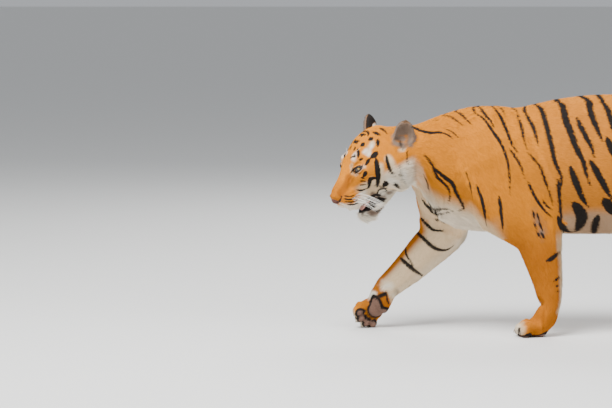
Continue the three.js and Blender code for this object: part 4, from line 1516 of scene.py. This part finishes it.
class TIGER_OT_skin(bpy.types.Operator):
    """Makes one skin over all the flesh, lying under it by the coat's depth"""

    bl_idname = "tiger.skin"
    bl_label = "Skin"

    def execute(self, context):
        sizes = context.scene.tiger_skin
        points, faces, owners = flesh_triangles()
        mesh = one_surface(points, faces, sizes.voxel, sizes.head_detail)
        tree = BVHTree.FromPolygons(points.tolist(), faces)

        v = coordinates(mesh)
        mean = spread(edges_of(mesh), len(v))
        in_head = np.linalg.norm(v - LENS, axis=1)
        weight = 1 - 0.5 * (1 - smoothstep(0.15, 0.30, in_head))
        part = PARTS[owners[[tree.find_nearest(p)[2] for p in v.tolist()]]]
        weight *= regional(part, 1, paw=0.35, foot=0.6)
        v = relax(v, mean, 26, weight[:, None])
        set_coordinates(mesh, v)

        # finer round the eyes, nose, mouth and toes
        q = into(HEAD, v) * 1000
        side = np.abs(q[:, 1])
        folded = np.stack([q[:, 0], side, q[:, 2]], 1)
        eyes = np.linalg.norm((folded - [-118, 52, 44]) / [34, 30, 26], axis=1) < 1
        snout = (q[:, 0] > -118) & (q[:, 0] < 30) & (side < 66)
        refine(mesh, eyes | snout | (np.char.find(part, "paw") >= 0))
        v = coordinates(mesh)
        q = into(HEAD, v) * 1000
        folded = np.stack([q[:, 0], np.abs(q[:, 1]), q[:, 2]], 1)
        lids = np.linalg.norm((folded - [-118, 52, 44]) / [30, 28, 22], axis=1) < 1
        nose = np.linalg.norm((folded - [4, 8, -30]) / [22, 26, 40], axis=1) < 1
        refine(mesh, lids | nose)
        v = coordinates(mesh)
        mean = spread(edges_of(mesh), len(v))
        v = relax(v, mean, 3)

        owner = owners[[tree.find_nearest(p)[2] for p in v.tolist()]]
        part = PARTS[owner]
        set_coordinates(mesh, v)
        tri = triangles_of(mesh)
        n = vertex_normals(v, tri)
        smooth = n
        for _ in range(6):
            smooth = unit(mean(smooth))
        depth = regional(
            part, sizes.depth_body, head=sizes.depth_face, jaw=sizes.depth_face, ear=sizes.depth_face * 0.7,
            eye=sizes.depth_face, lower=sizes.depth_legs, foot=sizes.depth_legs, paw=sizes.depth_legs * 0.8,
        )[:, None]
        for _ in range(10):
            depth = mean(depth)
        v = v - smooth * (depth + CUT)
        v = fold_body(v, smooth, BVHTree.FromPolygons(v.tolist(), tri.tolist()))
        v = shape_head(v, mean, tri)
        v = shape_paws(v, mean, tri, sizes.depth_legs * 800)
        v[:, 2] = np.maximum(v[:, 2], CLEAR)
        set_coordinates(mesh, v)
        mesh.polygons.foreach_set("use_smooth", np.ones(len(mesh.polygons), bool))
        mesh.update()

        n = vertex_normals(v, tri)
        skin_tree = BVHTree.FromPolygons(v.tolist(), tri.tolist())
        marks = Markings(skin_tree)
        lay_all(marks)
        smooth = n
        for _ in range(4):
            smooth = unit(mean(smooth))
        seen = zones(marks, v, smooth, owner, SKIN_EDGE)
        shaggy, fine = coat_plan(v, smooth, part)
        naked = bare_places(v, smooth, part)
        HIDE.update(
            points=v, triangles=tri, normals=smooth, owners=owner, way=lie_of_coat(v, smooth, owner, mean),
            bare=np.maximum.reduce(naked), shaggy=shaggy, fine=fine,
            zones=lambda p, m, o: zones(marks, p, m, o), tree=skin_tree,
        )
        for name, columns in (
            ("tint_a", (seen["ink"], seen["white"], seen["cream"], seen["grey"])),
            # the skin's tip share of 0.4 gives it part of the tufts' painted root shade
            ("tint_b", (seen["rich"], np.full(len(v), 0.5), np.full(len(v), 0.4), HIDE["bare"])),
            ("tint_c", naked),
        ):
            data = mesh.attributes.new(name, "FLOAT_COLOR", "POINT").data
            data.foreach_set("color", np.stack(columns, 1).astype(np.float32).ravel())
        mesh.materials.append(skin_material(context.scene.tiger_colours))
        skin = put("skin", mesh)
        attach(skin, "root")
        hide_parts(*SOFT)
        return {"FINISHED"}


def coat_plan(points, normals, part):
    """How long and shaggy the coat is, and how fine, at each place."""
    q = into(HEAD, points) * 1000
    side = np.abs(q[:, 1])
    headed = np.isin(part, ["head", "jaw"])
    ruff = smoothstep(75, 100, side) * smoothstep(20, -25, q[:, 2]) * smoothstep(-165, -215, q[:, 0])
    ruff = np.where(headed | (part == "neck"), ruff * smoothstep(-370, -320, q[:, 0]), 0) * 0.6
    chin = np.where(part == "jaw", smoothstep(-80, -110, q[:, 2]) * 0.45, 0)
    belly = smoothstep(0.48, 0.42, points[:, 2]) * smoothstep(-0.2, -0.8, normals[:, 2]) * 0.3
    belly = belly * np.isin(part, ["trunk", "neck"])
    for s in (1, -1):  # the fluff in the mouth of the ear
        ear = np.linalg.norm((q - [-296, 122 * s, 18]) / [40, 26, 34], axis=1)
        chin = np.maximum(chin, smoothstep(1.1, 0.7, ear) * 0.45)
    leg = np.char.find(part, "leg") >= 0
    rear = np.where(leg, smoothstep(0.5, 0.95, normals[:, 0]) * 0.4, 0)
    tail = np.where(np.char.find(part, "tail") >= 0, 0.35 * smoothstep(1.075, 1.035, points[:, 0]), 0)
    shaggy = np.maximum.reduce([ruff, chin, belly, rear, tail])
    fine = regional(part, 1.0, head=0.62, jaw=0.6, eye=0.4, ear=0.6, lower=0.8, foot=0.75, paw=0.6)
    snout = smoothstep(-170, -40, q[:, 0]) * headed
    fine = fine * (1 - 0.35 * snout)
    return shaggy, fine


def bare_places(points, normals, part):
    """Where the skin has no fur: shares of nose leather, pad, lip and the inside of the mouth."""
    count = len(points)
    q = into(HEAD, points) * 1000
    folded = np.stack([q[:, 0], np.abs(q[:, 1]), q[:, 2]], 1)
    up = normals @ HEAD_TURN[:, 2]
    upper, lower = part == "head", part == "jaw"
    nostril = np.zeros(count)
    for s in (1, -1):
        gap, _ = along(q, np.array(NOSTRIL) * [1, s, 1])
        nostril = np.maximum(nostril, smoothstep(6.5, 4.0, gap) * upper)

    leather = smoothstep(1.06, 0.92, np.linalg.norm((folded - [10, 0, -34]) / [20, 24, 17], axis=1)) * upper

    pad = np.zeros(count)
    for paw, matrix in PAWS.items():
        mine = part == paw
        local = into(matrix, points[mine]) * 1000
        gap = pads_field(local) - paw_field(local, *WRISTS[paw]) - 0.6
        pad[mine] = smoothstep(0.9, -0.9, gap)

    lip, mouth = np.zeros(count), np.zeros(count)
    near = (q[:, 0] > -185) & (folded[:, 1] < 75)
    for mine, other, way in ((upper, lower, -1), (lower, upper, 1)):
        tree = KDTree(int(other.sum()))
        for i, p in enumerate(points[other].tolist()):
            tree.insert(p, i)
        tree.balance()
        index = np.nonzero(mine & near)[0]
        gap = np.array([tree.find(p)[2] for p in points[index].tolist()]) * 1000
        facing = up[index] * way
        reach = smoothstep(62, 48, gap) * smoothstep(-10, -40, q[index, 0])
        edge = smoothstep(17, 10, gap) * smoothstep(-0.3, 0.2, facing)
        lip[index] = np.maximum(edge, reach * smoothstep(0.35, 0.7, facing))
        narrow = smoothstep(42, 34, folded[index, 1])
        mouth[index] = smoothstep(0.25, 0.6, facing) * narrow * smoothstep(30, 20, gap)
    lids = np.zeros(count)
    for s in (1, -1):
        middle, slit, over, out = eye_frame(s)
        away = q - middle
        u, w, f = away @ slit, away @ over, away @ out
        high, low = lid_height(u)
        inside = np.where(w > 0, high - w, low + w)
        lids = np.maximum(lids, (f > 2) * (np.abs(u) < EYE_SLIT[0] + 3) * smoothstep(-3.2, -1.6, inside))
    lip = np.maximum.reduce([lip * (1 - mouth), lids, nostril])
    return leather, pad, lip, mouth


# ---------- eyes, lids, tongue, claws and whiskers ----------
def finished(name, bm, material, replaces=()):
    """Turns a bmesh into a smooth piece that rides on the body."""
    bmesh.ops.recalc_face_normals(bm, faces=bm.faces)
    for v in bm.verts:
        v.co.z = max(v.co.z, CLEAR)
    mesh = bpy.data.meshes.new(name)
    bm.to_mesh(mesh)
    bm.free()
    mesh.polygons.foreach_set("use_smooth", np.ones(len(mesh.polygons), bool))
    mesh.materials.append(material)
    piece = put(name, mesh)
    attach(piece, "root")
    if replaces:
        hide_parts(*replaces)
    return piece


# Angles from the line of sight: the eye's attribute counts up to RING degrees, and the pupil and the
# iris reach to these shares of it.
RING, PUPIL, IRIS = 40, 0.36, 0.86


def eye_material(colours):
    finish = Finish("eye_wet", Roughness=0.08, Coat_Weight=1.0, Coat_Roughness=0.02, IOR=1.38)
    ring = finish.attribute("ring")[0]
    streaks = finish.noise(0.0012, 4.0)
    iris = finish.mix((streaks * 1.2 - 0.1).clipped(), colours.iris, [c * 0.35 for c in colours.iris])
    base = finish.mix(ring.above(PUPIL), (0.004, 0.004, 0.004), iris)
    base = finish.mix(ring.above(IRIS), base, (0.030, 0.018, 0.012))
    return finish.wear(Base_Color=base)


class TIGER_OT_eyes(bpy.types.Operator):
    """Makes the wet amber eyes and the dark rims of their lids"""

    bl_idname = "tiger.eyes"
    bl_label = "Eyes and lids"

    def execute(self, context):
        colours = context.scene.tiger_colours
        wet = eye_material(colours)
        rim_finish = Finish("lid_rim", Roughness=0.35, Specular_IOR_Level=0.4)
        grain = rim_finish.noise(0.0015, 3.0)
        rim = rim_finish.wear(
            Base_Color=rim_finish.mix(grain, (0.010, 0.008, 0.007), (0.030, 0.022, 0.018)),
            Normal=rim_finish.bump(grain, 0.3, 0.0005),
        )
        for side, s in (("left", 1), ("right", -1)):
            middle, slit, up, out = eye_frame(s)
            gaze = Vector((0.80, 0.58 * s, 0.06)).normalized()
            bm = bmesh.new()
            bmesh.ops.create_uvsphere(bm, u_segments=40, v_segments=28, radius=1)
            turn = Vector((0, 0, 1)).rotation_difference(gaze).to_matrix()
            bmesh.ops.rotate(bm, verts=bm.verts, cent=(0, 0, 0), matrix=turn)
            for v in bm.verts:  # the cornea stands out a little
                v.co *= EYE_RADIUS * (1 + 0.05 * smoothstep(0.80, 1.0, v.co.normalized().dot(gaze)))
            ring = [math.degrees(v.co.angle(gaze)) / RING for v in bm.verts]
            bmesh.ops.translate(bm, verts=bm.verts, vec=tuple(middle / 1000))
            bmesh.ops.transform(bm, verts=bm.verts, matrix=HEAD)
            eye = finished(f"eyeball_{side}", bm, wet, [f"eye_{side}"])
            data = eye.data.attributes.new("ring", "FLOAT_COLOR", "POINT").data
            data.foreach_set("color", np.repeat(np.minimum(ring, 1), 4).astype(np.float32))

            half = EYE_SLIT[0]
            reach = EYE_OUT + 0.5
            line = []
            for t in np.linspace(0, 2 * math.pi, 56, False):
                u = math.cos(t) * half
                upper, lower = lid_height(np.array([u]))
                w = upper[0] if math.sin(t) >= 0 else -lower[0]
                flat = slit * u + up * w
                depth = math.sqrt(max(reach**2 - flat @ flat, 0))
                line.append(middle + flat + out * depth)
            bm = bmesh.new()
            tube(bm, through(HEAD, np.array(line) / 1000), 0.0023, 8, True)
            finished(f"lid_rim_{side}", bm, rim)
        return {"FINISHED"}


class TIGER_OT_tongue(bpy.types.Operator):
    """Makes the tongue, grooved down its middle"""

    bl_idname = "tiger.tongue"
    bl_label = "Tongue"

    def execute(self, context):
        bm = bmesh.new()
        bmesh.ops.create_uvsphere(bm, u_segments=32, v_segments=20, radius=1)
        for v in bm.verts:
            x, y, z = v.co
            groove = math.exp(-((y / 0.30) ** 2)) * 2.0 * max(z, 0)
            curl = 2.5 * y * y
            droop = 5 * max(x, 0) ** 3
            high = -53 + 7 * z + curl - groove - droop
            v.co = Vector((-104 + 50 * x, 21 * y * (1 - 0.12 * x), high)) * MM
        bmesh.ops.transform(bm, verts=bm.verts, matrix=JAW)
        finish = Finish("tongue_moist", Roughness=0.32, Coat_Weight=0.4, Coat_Roughness=0.15)
        buds = finish.noise(0.0016, 3.0)
        base = finish.mix(buds, context.scene.tiger_colours.tongue, (0.72, 0.36, 0.28))
        moist = finish.wear(Base_Color=base, Normal=finish.bump(buds, 0.5, 0.0008))
        finished("tongue_soft", bm, moist, ["tongue"])
        return {"FINISHED"}


class TIGER_OT_claws(bpy.types.Operator):
    """Makes the tips of the claws in their sheaths"""

    bl_idname = "tiger.claws"
    bl_label = "Claws"

    def execute(self, context):
        finish = Finish("claw_horn", Roughness=0.35, Specular_IOR_Level=0.45)
        grain = finish.noise(0.002, 3.0)
        horn = finish.wear(
            Base_Color=finish.mix(grain, context.scene.tiger_colours.claw, (0.16, 0.11, 0.08)),
            Normal=finish.bump(grain, 0.2, 0.0004),
        )
        for paw, matrix in PAWS.items():
            bm = bmesh.new()
            for y, tip in TOES:
                turns = np.linspace(0.5, 1.8, 8)
                line = [(tip - 8 + 12 * math.sin(t), y * 1.05, 15 + 13 * math.cos(t)) for t in turns]
                tube(bm, through(matrix, np.array(line) * MM), lambda k: 0.0028 * (1 - k) + 0.0004)
            finished(f"claws_{paw}", bm, horn)
        return {"FINISHED"}


class TIGER_OT_whiskers(bpy.types.Operator):
    """Makes the whiskers, brow hairs and their curves"""

    bl_idname = "tiger.whiskers"
    bl_label = "Whiskers"

    def execute(self, context):
        rng = np.random.default_rng(SEED + 5)
        finish = Finish("whisker_white", Roughness=0.35, Specular_IOR_Level=0.4)
        tone = finish.noise(0.03, 1.0)
        white = finish.wear(Base_Color=finish.mix(tone, (0.80, 0.78, 0.72), (0.62, 0.58, 0.52)))
        for side, s in (("left", 1), ("right", -1)):
            bm = bmesh.new()
            lip = [
                (np.array([-44 - 9.0 * i - 3 * row, 60 * s, -42 - 10 * row]), 0.095 + 0.013 * i - 0.008 * row)
                for row in range(4)
                for i in range(5)
            ]
            brows = [(np.array([-128 - 5 * i, 62 * s, 90]), 0.055) for i in range(3)]
            for k, (start, long) in enumerate(lip + brows):
                origin = through(HEAD, start[None] / 1000)[0]
                aim = through(HEAD, (start * [1, 0.2, 1])[None] / 1000)[0]
                inward = unit(aim - origin).tolist()
                hit = HIDE["tree"].ray_cast(origin.tolist(), inward, 0.08)[0]
                if hit is None:
                    continue
                brow = k >= len(lip)
                way = np.array([-0.62, 0.72 * s, 0.55 if brow else -0.30])
                way = HEAD_TURN @ unit(way + rng.normal(0, 0.10, 3))
                droop = np.array([0, 0, -0.126 if brow else -0.42])
                long *= rng.uniform(0.85, 1.15)
                root = np.array(hit) - way * 0.003
                line = [root + (way * t + droop * t * t) * long for t in np.linspace(0, 1, 9)]
                tube(bm, line, lambda t: 0.0009 * (1 - t) + 0.00025, 4)
            finished(f"whiskers_{side}", bm, white)
        return {"FINISHED"}


# ---------- floor, light and camera ----------
class TIGER_OT_stage(bpy.types.Operator):
    """Lays a pale floor, soft studio light and the camera"""

    bl_idname = "tiger.stage"
    bl_label = "Stage"

    def execute(self, context):
        scene = context.scene
        bm = bmesh.new()
        bmesh.ops.create_grid(bm, x_segments=1, y_segments=1, size=300)
        mesh = bpy.data.meshes.new("floor")
        bm.to_mesh(mesh)
        bm.free()
        floor = put("floor", mesh)
        pale = bpy.data.materials.new("floor_pale")
        pale.use_nodes = True
        shader = pale.node_tree.nodes["Principled BSDF"]
        shader.inputs["Base Color"].default_value = (0.76, 0.76, 0.74, 1)
        shader.inputs["Roughness"].default_value = 0.85
        mesh.materials.append(pale)

        world = bpy.data.worlds.new("studio")
        scene.world = world
        world.use_nodes = True
        sky = world.node_tree.nodes["Background"]
        sky.inputs["Color"].default_value = (0.92, 0.95, 1.0, 1)
        sky.inputs["Strength"].default_value = 0.50
        for name, where, size, watts in (
            ("key", (-2.6, -3.0, 6.0), 3.2, 980),
            ("fill", (4.6, -3.6, 3.4), 3.5, 160),
            ("back", (1.0, 5.0, 4.8), 3.5, 240),
        ):
            lamp = bpy.data.lights.new(name, "AREA")
            lamp.size, lamp.energy = size, watts
            light = bpy.data.objects.new(name, lamp)
            scene.collection.objects.link(light)
            light.location = where
            toward = Vector((-0.3, 0, 0.5)) - Vector(where)
            light.rotation_euler = toward.to_track_quat("-Z", "Y").to_euler()

        lens = bpy.data.cameras.new("camera")
        lens.sensor_fit = "HORIZONTAL"
        lens.sensor_width = 36
        lens.lens = lens.sensor_width * DISTANCE / (SHEET[0] * SQUARE)
        camera = bpy.data.objects.new("camera", lens)
        scene.collection.objects.link(camera)
        camera.location = EYEPOINT
        camera.rotation_euler = Vector(AHEAD).to_track_quat("-Z", "Y").to_euler()
        scene.camera = camera
        return {"FINISHED"}


class TIGER_PT_panel(bpy.types.Panel):
    bl_label = "Bengal Tiger"
    bl_idname = "TIGER_PT_panel"
    bl_space_type = "VIEW_3D"
    bl_region_type = "UI"
    bl_category = "Tiger"

    def draw(self, context):
        for step in STEPS:
            self.layout.operator(step.bl_idname)


STEPS = (
    TIGER_OT_stage,
    TIGER_OT_skin,
    TIGER_OT_coat,
    TIGER_OT_eyes,
    TIGER_OT_tongue,
    TIGER_OT_claws,
    TIGER_OT_whiskers,
)
GROUPS = {"tiger_skin": TigerSkinSizes, "tiger_colours": TigerColours, "tiger_coat": TigerCoatSizes}
CLASSES = tuple(GROUPS.values()) + STEPS + (TIGER_PT_panel,)


def register():
    for c in CLASSES:
        bpy.utils.register_class(c)
    for name, group in GROUPS.items():
        setattr(bpy.types.Scene, name, bpy.props.PointerProperty(type=group))


def unregister():
    for name in GROUPS:
        delattr(bpy.types.Scene, name)
    for c in reversed(CLASSES):
        bpy.utils.unregister_class(c)


def main():
    register()
    for step in STEPS:
        getattr(bpy.ops.tiger, step.bl_idname.split(".")[1])()
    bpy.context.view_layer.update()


if __name__ == "__main__":
    main()
